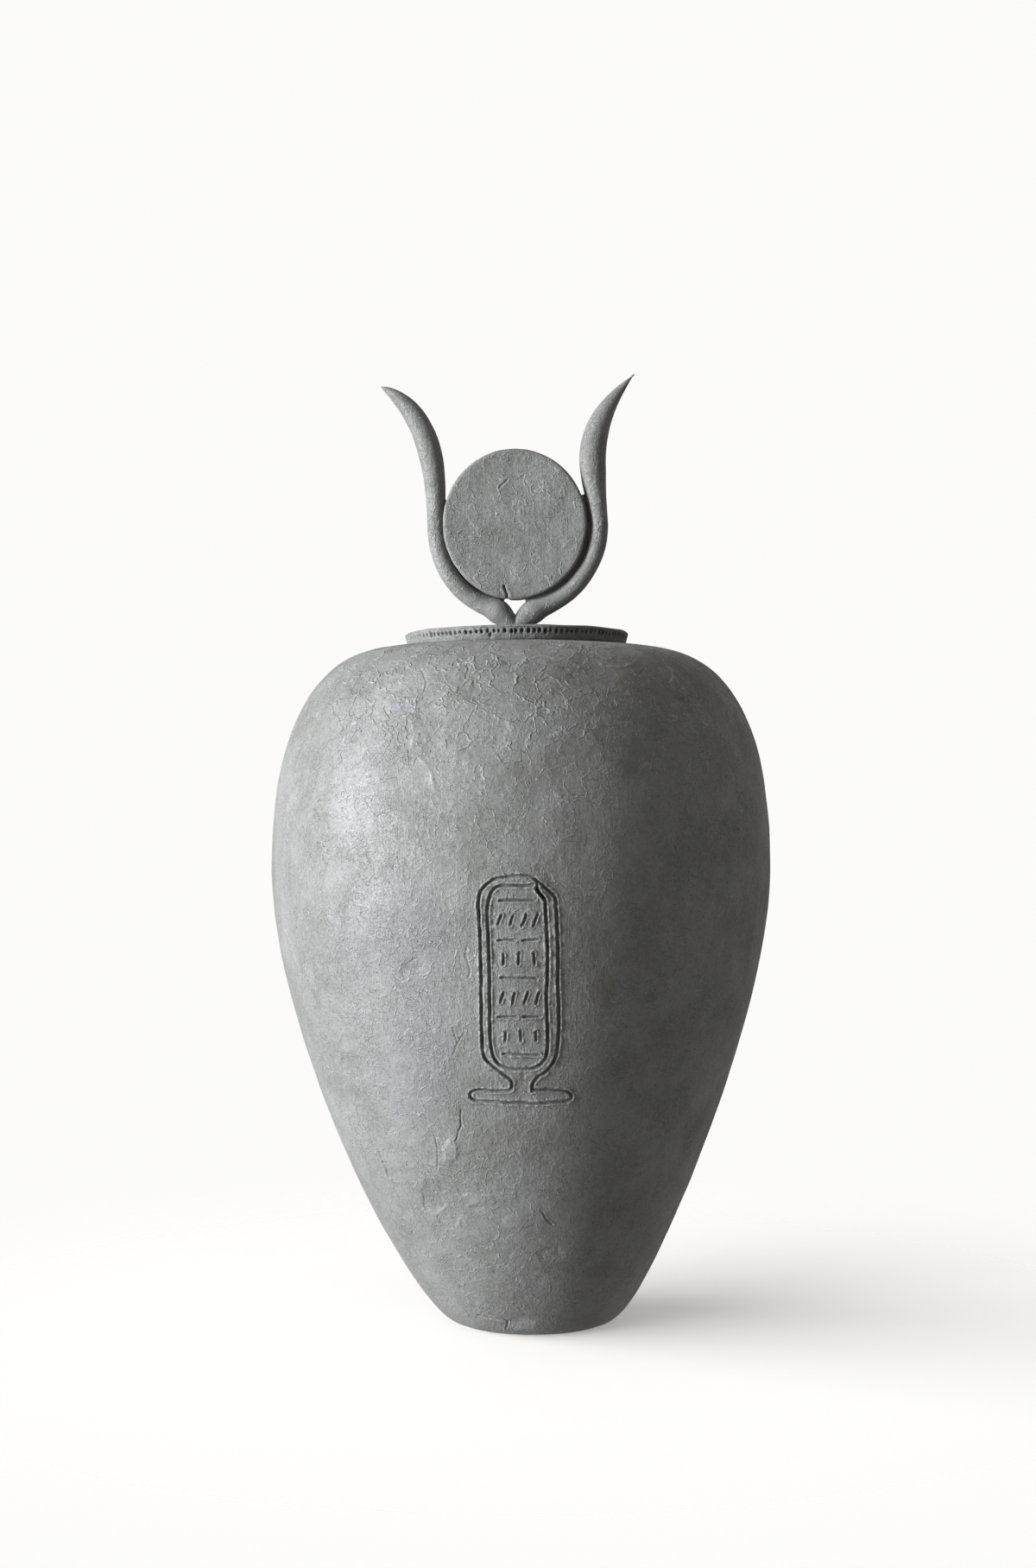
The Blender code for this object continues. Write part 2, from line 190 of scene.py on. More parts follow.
def face_centres(piece):
    places = np.empty(len(piece.data.polygons) * 3, np.float32)
    piece.data.polygons.foreach_get("center", places)
    return places.reshape(-1, 3).astype(float)


def split_faces(piece, wanted):
    """Cuts each wanted face in four."""
    start_edit(piece, "FACE")
    bpy.ops.mesh.select_all(action="DESELECT")
    bpy.ops.object.mode_set(mode="OBJECT")
    piece.data.polygons.foreach_set("select", wanted)
    bpy.ops.object.mode_set(mode="EDIT")
    bpy.ops.mesh.subdivide(number_cuts=1)
    bpy.ops.object.mode_set(mode="OBJECT")


wall = outer_wall()
lip_centre = (MOUTH_RADIUS + MOUTH_ROUNDING, SEAT_HEIGHT - MOUTH_ROUNDING)
lip = arc(lip_centre, MOUTH_ROUNDING, math.pi, math.pi / 2, 3)
outer_rings = evenly(wall, RING_STEP)
underside = [(FOOT_RADIUS * 0.66, 0), (FOOT_RADIUS * 0.33, 0), (0, 0)]
jar_profile = np.concatenate([[(0, FLOOR)], inner_wall(wall), lip, outer_rings[::-1], underside])
jar = throw(draw_profile("clay_jar", jar_profile), JAR_COLUMNS)

# The drawing on the jar's front. An oval ring of two lines that stands on a neck and a bar, with
# rows of plain strokes in it, all cut freehand into the leather-hard wall with a pointed stick.
# The stick pushed up small burrs beside its lines. Places are millimetres across and up.
OUTER_LINE = [
    (6.2, 157.9), (6.0, 161.9), (8.9, 166.2), (13.5, 168.8), (17.6, 173.5), (20.1, 179.3), (21.1, 191.9),
    (21.2, 204), (20.4, 220), (20.6, 236), (19.4, 260.9), (18.9, 268.8), (11.7, 275.3), (5.4, 280.2),
    (-5.4, 280.2), (-14.5, 278.6), (-19.8, 275.2), (-22.8, 271.2), (-24.0, 264.5), (-23.1, 252.8),
    (-22.4, 232), (-22.3, 198), (-21.7, 181), (-20.6, 176.4), (-14.2, 170.9), (-8.6, 166.8), (-5.3, 164.0),
    (-5.3, 158.3), (-13, 157.9), (-24.6, 158.4), (-27.6, 157.7), (-29.3, 155.8), (-28.9, 153.0),
    (-25, 151.5), (-13.8, 151.5), (-8.6, 150.8), (0, 151.3), (8, 150.5), (20.3, 151.2), (26.4, 151.4),
    (28.7, 153.2), (28.6, 155.4), (26.8, 157.2), (20, 158.2), (6.2, 158.4),
]
INNER_LINE = [
    (8.6, 276.0), (9.4, 271.4), (13.0, 268.0), (13.6, 262), (14.4, 246), (14.8, 230.4), (14.0, 212),
    (14.8, 193), (15.0, 184), (13.8, 177), (11.0, 173.2), (6.5, 170.9), (-0.4, 170.4), (-7.5, 171.4),
    (-12.9, 173.6), (-15.8, 178), (-17.3, 185), (-17.5, 200), (-17.7, 228), (-18.6, 250), (-19.0, 258),
    (-18.5, 266), (-16.6, 271.6), (-13.4, 274.6), (-6.4, 275.0), (0.6, 274.8), (7.4, 275.4),
]
CORNER_LINE = [(8.0, 273.6), (10.2, 270.6), (12.6, 267.2)]
LINE_HALF_WIDTH = 1.15
LINE_DEPTH = 1.6
STROKE_HALF_WIDTH = 0.95
STROKE_DEPTH = 1.25
BURR_HEIGHT = 0.6
BAND_HEIGHT = 0.38
ROW_PATTERN = ("lying", "upright upright upright", "lying lying", "slanted slanted slanted slanted")
STROKE_ROWS = 9
FIELD_HALF_WIDTH = 13.2
FIELD_BOTTOM = 173.8
FIELD_TOP = 272.1
FIELD_LEAN = -2.4
TICK_REACH = 3.0
TICK_SLANT = math.tan(math.radians(18))
LYING_SHARE = 0.76
STROKE_SLIP = 0.35
STROKE_BOW = 0.2
STROKE_WOBBLE = 0.15
HAND_STEP = 1.6
LINE_REACH = 10
HAND_WOBBLE = 0.22


def by_hand(points, seed, wobble=HAND_WOBBLE):
    """A line drawn through the points by hand, with its corners eased and a little unsteady."""
    line = evenly(np.array(points, float), HAND_STEP)
    eased = line.copy()
    eased[1:-1] = (line[:-2] + 2 * line[1:-1] + line[2:]) / 4
    for number, point in enumerate(eased[1:-1], 1):
        way = Vector((number * 0.37, seed * 3.1, 0.5))
        point += wobble * np.array([noise.noise(way), noise.noise(way + Vector((0, 0, 9)))])
    return eased


def stroke_lines():
    """The plain strokes' lines, row by row from the bottom."""
    chance = np.random.default_rng(11)
    lines = []
    row_height = (FIELD_TOP - FIELD_BOTTOM) / STROKE_ROWS
    for row in range(STROKE_ROWS):
        kinds = ROW_PATTERN[row % len(ROW_PATTERN)].split()
        room = 2 * FIELD_HALF_WIDTH / len(kinds)
        up = FIELD_BOTTOM + (row + 0.5) * row_height
        lean = FIELD_LEAN * (up - FIELD_BOTTOM) / (FIELD_TOP - FIELD_BOTTOM)
        for place, kind in enumerate(kinds):
            reach = {
                "lying": np.array([LYING_SHARE * room / 2, 0]),
                "upright": np.array([0, TICK_REACH]),
                "slanted": np.array([TICK_SLANT * TICK_REACH, TICK_REACH]),
            }[kind]
            middle = np.array([-FIELD_HALF_WIDTH + (place + 0.5) * room + lean, up])
            start = middle - reach + chance.normal(0, STROKE_SLIP, 2)
            end = middle + reach + chance.normal(0, STROKE_SLIP, 2)
            lines.append(np.array([start, (start + end) / 2 + chance.normal(0, STROKE_BOW, 2), end]))
    return lines


def measure_to_line(places, line):
    """How far each place is from a line, and how far along the line that is."""
    nearest = np.full(len(places), np.inf)
    along = np.zeros(len(places))
    low, high = line.min(axis=0) - LINE_REACH, line.max(axis=0) + LINE_REACH
    close = np.flatnonzero(((places > low) & (places < high)).all(axis=1))
    near, near_along, run = np.full(len(close), np.inf), np.zeros(len(close)), 0.0
    for start, end in zip(line[:-1], line[1:]):
        way = end - start
        length = math.hypot(*way)
        offset = places[close] - start
        share = np.clip((offset @ way) / length**2, 0, 1)
        gap = np.hypot(offset[:, 0] - share * way[0], offset[:, 1] - share * way[1])
        closer = gap < near
        near[closer] = gap[closer]
        near_along[closer] = run + share[closer] * length
        run += length
    nearest[close], along[close] = near, near_along
    return nearest, along


ring_lines = [by_hand(OUTER_LINE, 1), by_hand(INNER_LINE, 2), by_hand(CORNER_LINE, 3)]
strokes = [by_hand(line, 10 + number, STROKE_WOBBLE) for number, line in enumerate(stroke_lines())]

# Marks that the wall's smoothing left on the jar: drag ridges, short tears where the rib caught, and
# a chipped crack in the foot. Each is a line on the front, with its half width and height.
MARKS = [
    ([(-62.1, 366.9), (-61.8, 349.6), (-52.3, 340.7), (-46.3, 322.7)], 1.2, 0.42),
    ([(-94.5, 328.8), (-94.9, 319.0), (-88.1, 304.7)], 0.8, -0.5),
    ([(-67.3, 219.3), (-60.2, 224.0), (-53.8, 229.7)], 0.9, 0.3),
    ([(-30.3, 240.9), (-31.2, 234.5), (-28.4, 228.2), (-30.0, 223.0)], 0.7, -0.4),
    ([(-38.8, 194.4), (-36.0, 185.5), (-39.4, 177.0)], 0.7, -0.5),
    ([(-36.0, 185.5), (-32.6, 190.8)], 0.6, -0.4),
    ([(-34.3, 146.7), (-34.2, 137.4), (-37.6, 127.0)], 0.8, -0.6),
    ([(-49.6, 129.2), (-48.0, 119.0), (-48.8, 108.1)], 0.7, -0.5),
    ([(-61.4, 82.5), (-57.0, 76.8), (-54.0, 72.9)], 0.8, -0.6),
    ([(11.0, 85.6), (14.1, 80.3), (18.2, 75.9)], 0.8, -0.6),
    ([(-58.2, 398.0), (-54.0, 391.0), (-55.5, 384.5)], 0.8, -0.5),
    ([(-36.0, 403.0), (-30.0, 398.0), (-31.5, 392.0)], 0.9, -0.6),
    ([(2.0, 402.5), (12.0, 405.0), (24.0, 403.5), (33.0, 399.0)], 0.9, 0.35),
    ([(41.0, 405.0), (47.0, 399.5), (58.0, 399.0), (66.0, 403.0)], 0.9, 0.35),
    ([(84.0, 404.5), (89.0, 398.0), (88.0, 391.0)], 0.9, 0.35),
    ([(-97.0, 264.0), (-88.0, 262.5), (-78.0, 261.5), (-70.0, 259.0)], 0.8, 0.3),
    ([(-82.0, 110.0), (-79.5, 104.0), (-78.0, 99.0)], 0.9, -0.6),
    ([(-25.7, 14.2), (-14.0, 12.8), (-7.6, 12.3), (-9.2, 5.6)], 0.9, -0.9),
]
FOOT_CHIP = (-1.5, 9.9, 11.0, 4.2, -0.7)
SOFT_DENTS = [
    (-31, 86, 17, -0.6), (6, 335, 14, -0.5), (17, 300, 13, 0.4), (40, 345, 20, -0.7), (66, 345, 12, -0.4),
    (-66, 330, 16, -0.5), (-84, 372, 14, -0.45), (-60, 392, 12, -0.35), (60, 190, 30, -0.5),
    (-70, 250, 26, 0.5), (-10, 372, 18, 0.4), (88, 380, 16, -0.5), (10, 60, 18, -0.4), (-62, 150, 24, 0.4),
    (-42, 121, 7, 0.5), (-52, 92, 9, -0.6), (-45, 78, 7, -0.5), (-39, 101, 7, -0.45), (-23, 89, 8, 0.4),
    (-3, 78, 10, 0.4), (-98, 168, 10, -0.45), (-63, 226, 10, -0.45), (-77, 240, 8, 0.35),
]
MARK_WOBBLE = 0.7
WALL_HILLS = [(0.42, 46, 1), (0.22, 20, 2), (0.07, 8, 3)]
MOST_RELIEF = 0.55
FOOT_FADE = 12 * MM
SEAT_FADE = 2 * MM
BAND_REACH = 6.2
SPLITS = [("near", 8.4), ("near", 4.7), ("near", 2.6), ("lines", 1.55)]

marks = []
for number, (points, half, height) in enumerate(MARKS):
    marks.append((by_hand(points, 60 + number, MARK_WOBBLE), half, height))


def front_places(places):
    """Millimetres across and up on the jar's front, with everything behind it put far away."""
    flat = np.stack([places[:, 0] + drift(places[:, 2]), places[:, 2]], axis=1) / MM
    flat[places[:, 1] > 0] = 9999
    return flat


def on_outside(places):
    radius = np.hypot(places[:, 0], places[:, 1])
    inside = np.interp(places[:, 2], wall[:, 1], wall[:, 0]) - radius > WALL / 3
    return ~inside | (places[:, 2] < FLOOR / 3)


for kind, reach in SPLITS:
    centres = face_centres(jar)
    flat = front_places(centres)
    lines = ring_lines + strokes
    if kind == "near":
        lines += [line for line, half, height in marks]
    wanted = np.zeros(len(centres), bool)
    for line in lines:
        wanted |= measure_to_line(flat, line)[0] < reach
    split_faces(jar, wanted & on_outside(centres))


def rough(places, size, seed):
    """Smooth hills and hollows of about this size, from -1 to 1, at each place."""
    shift = Vector((seed * 7.7, seed * 3.3, seed * 5.1))
    return np.array([noise.noise(Vector(place) / size + shift) for place in places])


def hills(places, layers):
    """Unevenness in millimetres, from layers of (height, size, seed)."""
    return sum(height * rough(places / MM, size, seed) for height, size, seed in layers)


def swelling(flat, across, up, wide, high):
    """One at a place in millimetres across and up, and falling softly round it."""
    return np.exp(-(((flat[:, 0] - across) / wide) ** 2 + ((flat[:, 1] - up) / high) ** 2))


def cut_height(places, line, half_width, depth, seed):
    """The hollow of a cut line in millimetres, and the burrs beside it."""
    height = np.zeros(len(places))
    gap, along = measure_to_line(places, line)
    close = gap < half_width * 3.2
    gap, along = gap[close], along[close]
    near = np.column_stack([places[close], np.full(len(gap), seed * 4.0)])
    deep = 0.8 + 0.5 * rough(np.column_stack([along, along * 0, along * 0 + seed]), 6.0, seed)
    ends = np.clip(np.minimum(along, along.max(initial=1) - along) / half_width + 0.35, 0, 1)
    trough = np.clip(1 - (gap / half_width) ** 2, 0, 1) ** 1.5
    burr = np.exp(-(((gap - half_width * 1.3) / (0.45 * half_width)) ** 2))
    pushed = np.clip(rough(near, 2.6, 3) + 0.62, 0, 1.2)
    height[close] = -depth * deep * trough * ends + BURR_HEIGHT * (abs(depth) / LINE_DEPTH) * burr * pushed
    return height


places = corners_of(jar)
outside = on_outside(places)
tree_of_wall = kdtree.KDTree(len(wall))
for number, (radius, height) in enumerate(wall):
    tree_of_wall.insert((radius, 0, height), number)
tree_of_wall.balance()
radii = np.hypot(places[:, 0], places[:, 1])
nearest = [tree_of_wall.find((radius, 0, height))[1] for radius, height in zip(radii, places[:, 2])]
along_wall = np.gradient(wall, axis=0)
along_wall /= np.linalg.norm(along_wall, axis=1)[:, None]
on_seat = (places[:, 2] > SEAT_HEIGHT - MM) & (radii < SEAT_RADIUS * 0.98)
on_wall = outside & (radii > FOOT_RADIUS * 0.99) & ~on_seat
turn = np.arctan2(places[:, 1], places[:, 0])
base = wall[nearest]
facing = np.stack([along_wall[nearest, 1], -along_wall[nearest, 0]], axis=1)

relief = hills(places, WALL_HILLS)
flat = front_places(places)
for across, up, reach, height in SOFT_DENTS:
    relief += height * swelling(flat, across, up, reach, reach)
cuts = np.zeros(len(places))
for number, line in enumerate(ring_lines):
    cuts += cut_height(flat, line, LINE_HALF_WIDTH, LINE_DEPTH, number)
for number, line in enumerate(strokes):
    cuts += cut_height(flat, line, STROKE_HALF_WIDTH, STROKE_DEPTH, 20 + number)
for number, (line, half, height) in enumerate(marks):
    if height < 0:
        cuts += cut_height(flat, line, half, -height, 80 + number)
    else:
        gap, along = measure_to_line(flat, line)
        ridge = np.column_stack([along, np.zeros(len(along)), np.full(len(along), float(number))])
        pressed = np.clip(0.8 + 1.2 * rough(ridge, 5.0, 4), 0.3, 1.3)
        cuts += height * pressed * np.exp(-((gap / half) ** 2))
relief += cuts
# The cuts' depths and heights are kept for painted shade in their hollows and painted highlight on their
# burrs and ridges.
keep_hollows(jar, cuts)
across, up, wide, high, depth = FOOT_CHIP
inside_chip = 1 - ((flat[:, 0] - across) / wide) ** 2 - ((flat[:, 1] - up) / high) ** 2
relief += depth * np.clip(inside_chip * 1.6, 0, 1)

band = np.zeros(len(places))
outer_gap, inner_gap = (measure_to_line(flat, line)[0] for line in ring_lines[:2])
between_lines = (outer_gap < BAND_REACH) & (inner_gap < BAND_REACH)
band[between_lines] = np.clip(1 - abs(outer_gap[between_lines] - inner_gap[between_lines]) / 6, 0, 1)
relief += BAND_HEIGHT * band
relief -= BELLY_TRIM * np.exp(-(((places[:, 2] - BELLY_HEIGHT) / BELLY_TRIM_SPAN) ** 2))

edge_fade = np.clip(base[:, 1] / FOOT_FADE, 0, 1)
edge_fade *= np.clip((SEAT_HEIGHT - base[:, 1]) / SEAT_FADE + 0.15, 0, 1)
relief = np.minimum(relief, MOST_RELIEF) * MM * edge_fade
moved_radius = np.minimum(base[:, 0] + relief * facing[:, 0], BELLY_RADIUS)
moved_height = base[:, 1] + relief * facing[:, 1]
places[on_wall, 0] = (moved_radius * np.cos(turn))[on_wall]
places[on_wall, 1] = (moved_radius * np.sin(turn))[on_wall]
places[on_wall, 2] = moved_height[on_wall]
places[:, 0] += drift(places[:, 2])
set_corners(jar, places)
bpy.ops.object.shade_smooth()

# The clay. It fired to a dull grey with cloudy darker and lighter places, and its skin is full of
# fine crooked drag lines, short crescents from the rib and pin-sized pits.
CLAY_DARK = (0.098, 0.099, 0.094, 1)
CLAY_LIGHT = (0.138, 0.140, 0.138, 1)
CLAY_PALE = (0.215, 0.220, 0.222, 1)
CLAY_BROWN = (0.115, 0.098, 0.080, 1)
# A cool blue-grey painted on the lit left side as the window's sheen.
PAINTED_SHEEN_BLUE = (0.128, 0.140, 0.156, 1)
# A dark grey for pits and cracks, and for painted shade in the hollows.
CLAY_DUST_AND_SHADE = (0.030, 0.030, 0.028, 1)
CLAY_ROUGHNESS = (0.50, 0.70)
CLAY_SHINE = 0.35
FLAKY_FROM = (0.318, 0.395)
FLAKY_TO = (0.530, 0.548)
BRUSHED_FRONT = (-4, 190, 60, 95)
# Depths in millimetres over which hollows darken as painted shade, and heights over which burrs and ridges
# pale as painted highlight.
PAINTED_SHADE_DEPTHS = (-3.0, -0.25)
PAINTED_HIGHLIGHT_HEIGHTS = (0.10, 0.45)


class Finish:
    """Builds one material's nodes."""

    def __init__(self, name):
        self.material = bpy.data.materials.new(name)
        self.material.use_nodes = True
        self.tree = self.material.node_tree
        self.shader = self.tree.nodes["Principled BSDF"]
        self.place = self.add("ShaderNodeTexCoord").outputs["Object"]

    def add(self, kind, **settings):
        node = self.tree.nodes.new(kind)
        for setting, value in settings.items():
            setattr(node, setting, value)
        return node

    def join(self, value, socket):
        if isinstance(value, (int, float, tuple)):
            socket.default_value = value
        else:
            self.tree.links.new(value, socket)

    def maths(self, operation, first, second=0.0, clamp=False):
        node = self.add("ShaderNodeMath", operation=operation, use_clamp=clamp)
        self.join(first, node.inputs[0])
        self.join(second, node.inputs[1])
        return node.outputs[0]

    def times(self, value, *others):
        for other in others:
            value = self.maths("MULTIPLY", value, other)
        return value

    def axes(self):
        """The place's own X, Y and Z."""
        apart = self.add("ShaderNodeSeparateXYZ")
        self.join(self.place, apart.inputs[0])
        return apart.outputs

    def moved(self, shift, stretch=(1, 1, 1)):
        mapping = self.add("ShaderNodeMapping")
        self.join(self.place, mapping.inputs["Vector"])
        mapping.inputs["Location"].default_value = shift
        mapping.inputs["Scale"].default_value = stretch
        return mapping.outputs[0]

    def noise(self, size, detail=3.0, roughness=0.5, distortion=0.0, stretch=(1, 1, 1), shift=(0, 0, 0)):
        """Clouds of about this size in millimetres."""
        node = self.add("ShaderNodeTexNoise")
        self.join(self.moved(shift, stretch), node.inputs["Vector"])
        node.inputs["Scale"].default_value = 1 / (size * MM)
        node.inputs["Detail"].default_value = detail
        node.inputs["Roughness"].default_value = roughness
        node.inputs["Distortion"].default_value = distortion
        return node.outputs["Fac"]

    def spread(self, value, low, high, to_low=0.0, to_high=1.0):
        node = self.add("ShaderNodeMapRange", interpolation_type="SMOOTHSTEP")
        self.join(value, node.inputs["Value"])
        for name, number in (("From Min", low), ("From Max", high), ("To Min", to_low), ("To Max", to_high)):
            node.inputs[name].default_value = number
        return node.outputs["Result"]

    def hair_lines(self, value, width):
        """One where the clouds cross their middle, and nought beside it."""
        return self.spread(self.maths("ABSOLUTE", self.maths("SUBTRACT", value, 0.5)), 0, width, 1, 0)

    def flakes(self, size, bend, shift=(0, 0, 0)):
        """Crooked patches of about this size in millimetres, each with its own height, and their edges."""
        place = self.moved(shift)
        crooked = self.add("ShaderNodeTexNoise")
        self.join(place, crooked.inputs["Vector"])
        crooked.inputs["Scale"].default_value = 1.3 / (size * MM)
        crooked.inputs["Detail"].default_value = 3.0
        bent = self.add("ShaderNodeVectorMath", operation="MULTIPLY_ADD")
        self.join(crooked.outputs["Color"], bent.inputs[0])
        bent.inputs[1].default_value = (bend * MM, bend * MM, bend * MM)
        self.join(place, bent.inputs[2])
        cells = self.add("ShaderNodeTexVoronoi")
        borders = self.add("ShaderNodeTexVoronoi", feature="DISTANCE_TO_EDGE")
        for node in (cells, borders):
            self.join(bent.outputs[0], node.inputs["Vector"])
            node.inputs["Scale"].default_value = 1 / (size * MM)
        apart = self.add("ShaderNodeSeparateColor")
        self.join(cells.outputs["Color"], apart.inputs[0])
        return apart.outputs[0], self.spread(borders.outputs["Distance"], 0.0, 0.9 / size, 1, 0)

    def mix(self, share, first, second):
        node = self.add("ShaderNodeMix", data_type="RGBA")
        self.join(share, node.inputs["Factor"])
        self.join(first, node.inputs["A"])
        self.join(second, node.inputs["B"])
        return node.outputs["Result"]

    def patch(self, across, up, wide, high, ragged=0.35):
        """A ragged patch on the front, round a place in millimetres."""
        axes = self.axes()
        across_share = self.times(self.maths("SUBTRACT", axes["X"], across * MM), 1 / (wide * MM))
        up_share = self.times(self.maths("SUBTRACT", axes["Z"], up * MM), 1 / (high * MM))
        squares = [self.times(share, share) for share in (across_share, up_share)]
        distance = self.maths("ADD", squares[0], squares[1])
        ragged_edge = self.times(self.maths("SUBTRACT", self.noise(9, 4), 0.5), 4 * ragged)
        inside = self.spread(self.maths("ADD", distance, ragged_edge), 0.25, 1.3, 1, 0)
        front = self.spread(axes["Y"], 0, -6 * MM)
        return self.times(inside, front)

    def bump(self, height, distance):
        node = self.add("ShaderNodeBump")
        node.inputs["Strength"].default_value = 1.0
        node.inputs["Distance"].default_value = distance * MM
        self.join(height, node.inputs["Height"])
        return node.outputs[0]


def clay_finish(name, patches, flakiness, dents=()):
    """Dull grey clay. Patches are (colour, strength, shape) and dents (depth, shape), as patch takes one."""
    clay = Finish(name)
    mottle = clay.noise(13, 4, 0.6, 0.6)
    fine = clay.noise(2.2, 4, 0.65)
    colour = clay.mix(clay.spread(clay.noise(52, 5, 0.55), 0.34, 0.66), CLAY_DARK, CLAY_LIGHT)
    clouds = [
        (clay.spread(mottle, 0.40, 0.72), 0.5, CLAY_LIGHT),
        (clay.spread(mottle, 0.30, 0.46, 1, 0), 0.55, CLAY_DARK),
        (clay.spread(fine, 0.35, 0.75), 0.3, CLAY_PALE),
    ]
    clouds += [(clay.patch(*shape), strength, patch_colour) for patch_colour, strength, *shape in patches]

    # The skin flaked on the shoulder most, and hardly at the horns' tips.
    up = clay.axes()["Z"]
    flaky_here = clay.times(
        clay.spread(up, *FLAKY_FROM, 0.30, 1.35),
        clay.spread(clay.noise(30, 3, shift=(0, 0.6, 0.2)), 0.36, 0.56, 0.3 * flakiness, flakiness),
        clay.spread(up, *FLAKY_TO, 1, 0.1),
    )
    flakes, flake_edges = clay.flakes(15, 22)
    broken = clay.spread(clay.noise(8, 2, shift=(0.6, 0.6, 0)), 0.40, 0.50)
    flake_edges = clay.times(flake_edges, broken, flaky_here)
    small_flakes, small_edges = clay.flakes(5.5, 11, shift=(0.4, 0, 0.1))
    broken = clay.spread(clay.noise(4, 2, shift=(0.2, 0.6, 0.5)), 0.50, 0.60)
    small_edges = clay.times(small_edges, broken, flaky_here)

    # Lines that the wet hand, the rib and the drying left.
    drags = clay.hair_lines(clay.noise(5.0, 2, 0.5, 1.8), 0.032)
    drags = clay.times(drags, clay.spread(clay.noise(17, 3), 0.42, 0.60))
    crescents = clay.hair_lines(clay.noise(12, 1.5, 0.45, 2.4, shift=(0.3, 0.1, 0.7)), 0.016)
    crescents = clay.times(crescents, clay.spread(clay.noise(24, 2, shift=(0.9, 0, 0)), 0.47, 0.58))
    wisps = clay.hair_lines(clay.noise(2.6, 2, 0.55, 1.4, shift=(0, 0.5, 0)), 0.05)
    pits = clay.spread(clay.noise(1.5, 2, 0.5), 0.27, 0.35, 1, 0)
    cracks = clay.hair_lines(clay.noise(9, 2.5, 0.55, 1.0, shift=(0.7, 0.2, 0.3)), 0.010)
    cracks_here = clay.spread(clay.noise(15, 2, shift=(0.1, 0.9, 0.6)), 0.56, 0.64)
    cracks = clay.times(cracks, cracks_here, flaky_here)
    brushed_here = clay.spread(clay.noise(45, 2, shift=(0, 0, 0.4)), 0.42, 0.6, 0.1, 0.7)
    brushed_here = clay.maths("MAXIMUM", brushed_here, clay.patch(*BRUSHED_FRONT))
    strands = clay.times(clay.noise(1.5, 3, 0.6, 0.3, stretch=(1, 1, 0.07)), brushed_here)

    hollow = clay.add("ShaderNodeAttribute", attribute_name="hollow").outputs["Fac"]
    colours = clouds + [
        (crescents, 0.60, CLAY_PALE),
        (drags, 0.24, CLAY_PALE),
        (flake_edges, 0.95, CLAY_PALE),
        (small_edges, 0.35, CLAY_PALE),
        (clay.times(clay.spread(flakes, 0.55, 0.9), flaky_here), 0.42, CLAY_DARK),
        (pits, 0.60, CLAY_DUST_AND_SHADE),
        (cracks, 0.35, CLAY_DUST_AND_SHADE),
        # Painted shade: the hollows darken by their depth.
        (clay.spread(hollow, *PAINTED_SHADE_DEPTHS, 1, 0), 0.95, CLAY_DUST_AND_SHADE),
        # Painted highlight: burrs, ridges and lips pale by their height.
        (clay.spread(hollow, *PAINTED_HIGHLIGHT_HEIGHTS), 0.70, CLAY_PALE),
    ]
    for layer, strength, layer_colour in colours:
        colour = clay.mix(clay.times(layer, strength), colour, layer_colour)
    clay.join(colour, clay.shader.inputs["Base Color"])

    heights = [
        (crescents, 0.50),
        (drags, 0.19),
        (wisps, 0.09),
        (pits, -0.25),
        (cracks, -0.25),
        (strands, 0.50),
        (clay.noise(7, 4, 0.50), 0.75),
        (fine, 0.03 + 0.19 * flakiness),
        (clay.times(flakes, flaky_here), 1.8),
        (clay.times(small_flakes, flaky_here), 0.28),
        (flake_edges, 0.8),
        (small_edges, 0.2),
    ]
    heights += [(clay.patch(*shape), -depth) for depth, *shape in dents]
    height = 0.0
    for layer, proud in heights:
        height = clay.maths("ADD", height, clay.times(layer, proud))
    clay.join(clay.bump(height, 1.0), clay.shader.inputs["Normal"])

    rubbed = clay.noise(34, 4, 0.55, shift=(0.2, 0.8, 0))
    clay.join(clay.spread(rubbed, 0.35, 0.68, *CLAY_ROUGHNESS), clay.shader.inputs["Roughness"])
    clay.shader.inputs["Specular IOR Level"].default_value = CLAY_SHINE
    clay.shader.inputs["Sheen Weight"].default_value = 0.08
    clay.shader.inputs["Sheen Roughness"].default_value = 0.5
    return clay.material


# Patches on the jar's front: brown stains, dark and pale patches, a pale painted highlight where the window
# shines on the left, and blue patches of painted window sheen on the lit left side.
JAR_PATCHES = [
    (CLAY_BROWN, 0.65, 72, 396, 22, 17),
    (CLAY_BROWN, 0.55, 46, 217, 9, 13),
    (CLAY_DARK, 0.7, 65, 345, 15, 13, 0.8),
    (CLAY_DARK, 0.6, -94, 388, 10, 6, 0.6),
    # Painted cool sheen from the window.
    (PAINTED_SHEEN_BLUE, 0.6, -65, 375, 12, 5),
    # Painted highlight where the window shines.
    (CLAY_PALE, 0.45, -94, 326, 17, 36),
    # Painted cool sheen from the window on the lit left side.
    (PAINTED_SHEEN_BLUE, 0.42, -72, 250, 34, 34, 0.7),
    (PAINTED_SHEEN_BLUE, 0.32, -60, 180, 22, 52, 0.7),
    (CLAY_DARK, 0.5, -68, 322, 9, 7, 0.6),
    (CLAY_DARK, 0.45, 2, 318, 8, 26, 0.6),
    (CLAY_DARK, 0.38, -52, 91, 8, 9, 0.6),
    (CLAY_DARK, 0.32, -98, 168, 9, 9, 0.6),
    (CLAY_DARK, 0.32, -63, 227, 9, 7, 0.6),
    (CLAY_PALE, 0.28, -42, 121, 5, 7, 0.5),
    (CLAY_PALE, 0.22, -24, 88, 9, 5, 0.6),
    (CLAY_DARK, 0.5, 20, 48, 14, 5),
    (CLAY_DARK, 0.5, 47, 43, 12, 5),
    (CLAY_PALE, 0.8, -1, 10, 10, 5, 0.25),
]
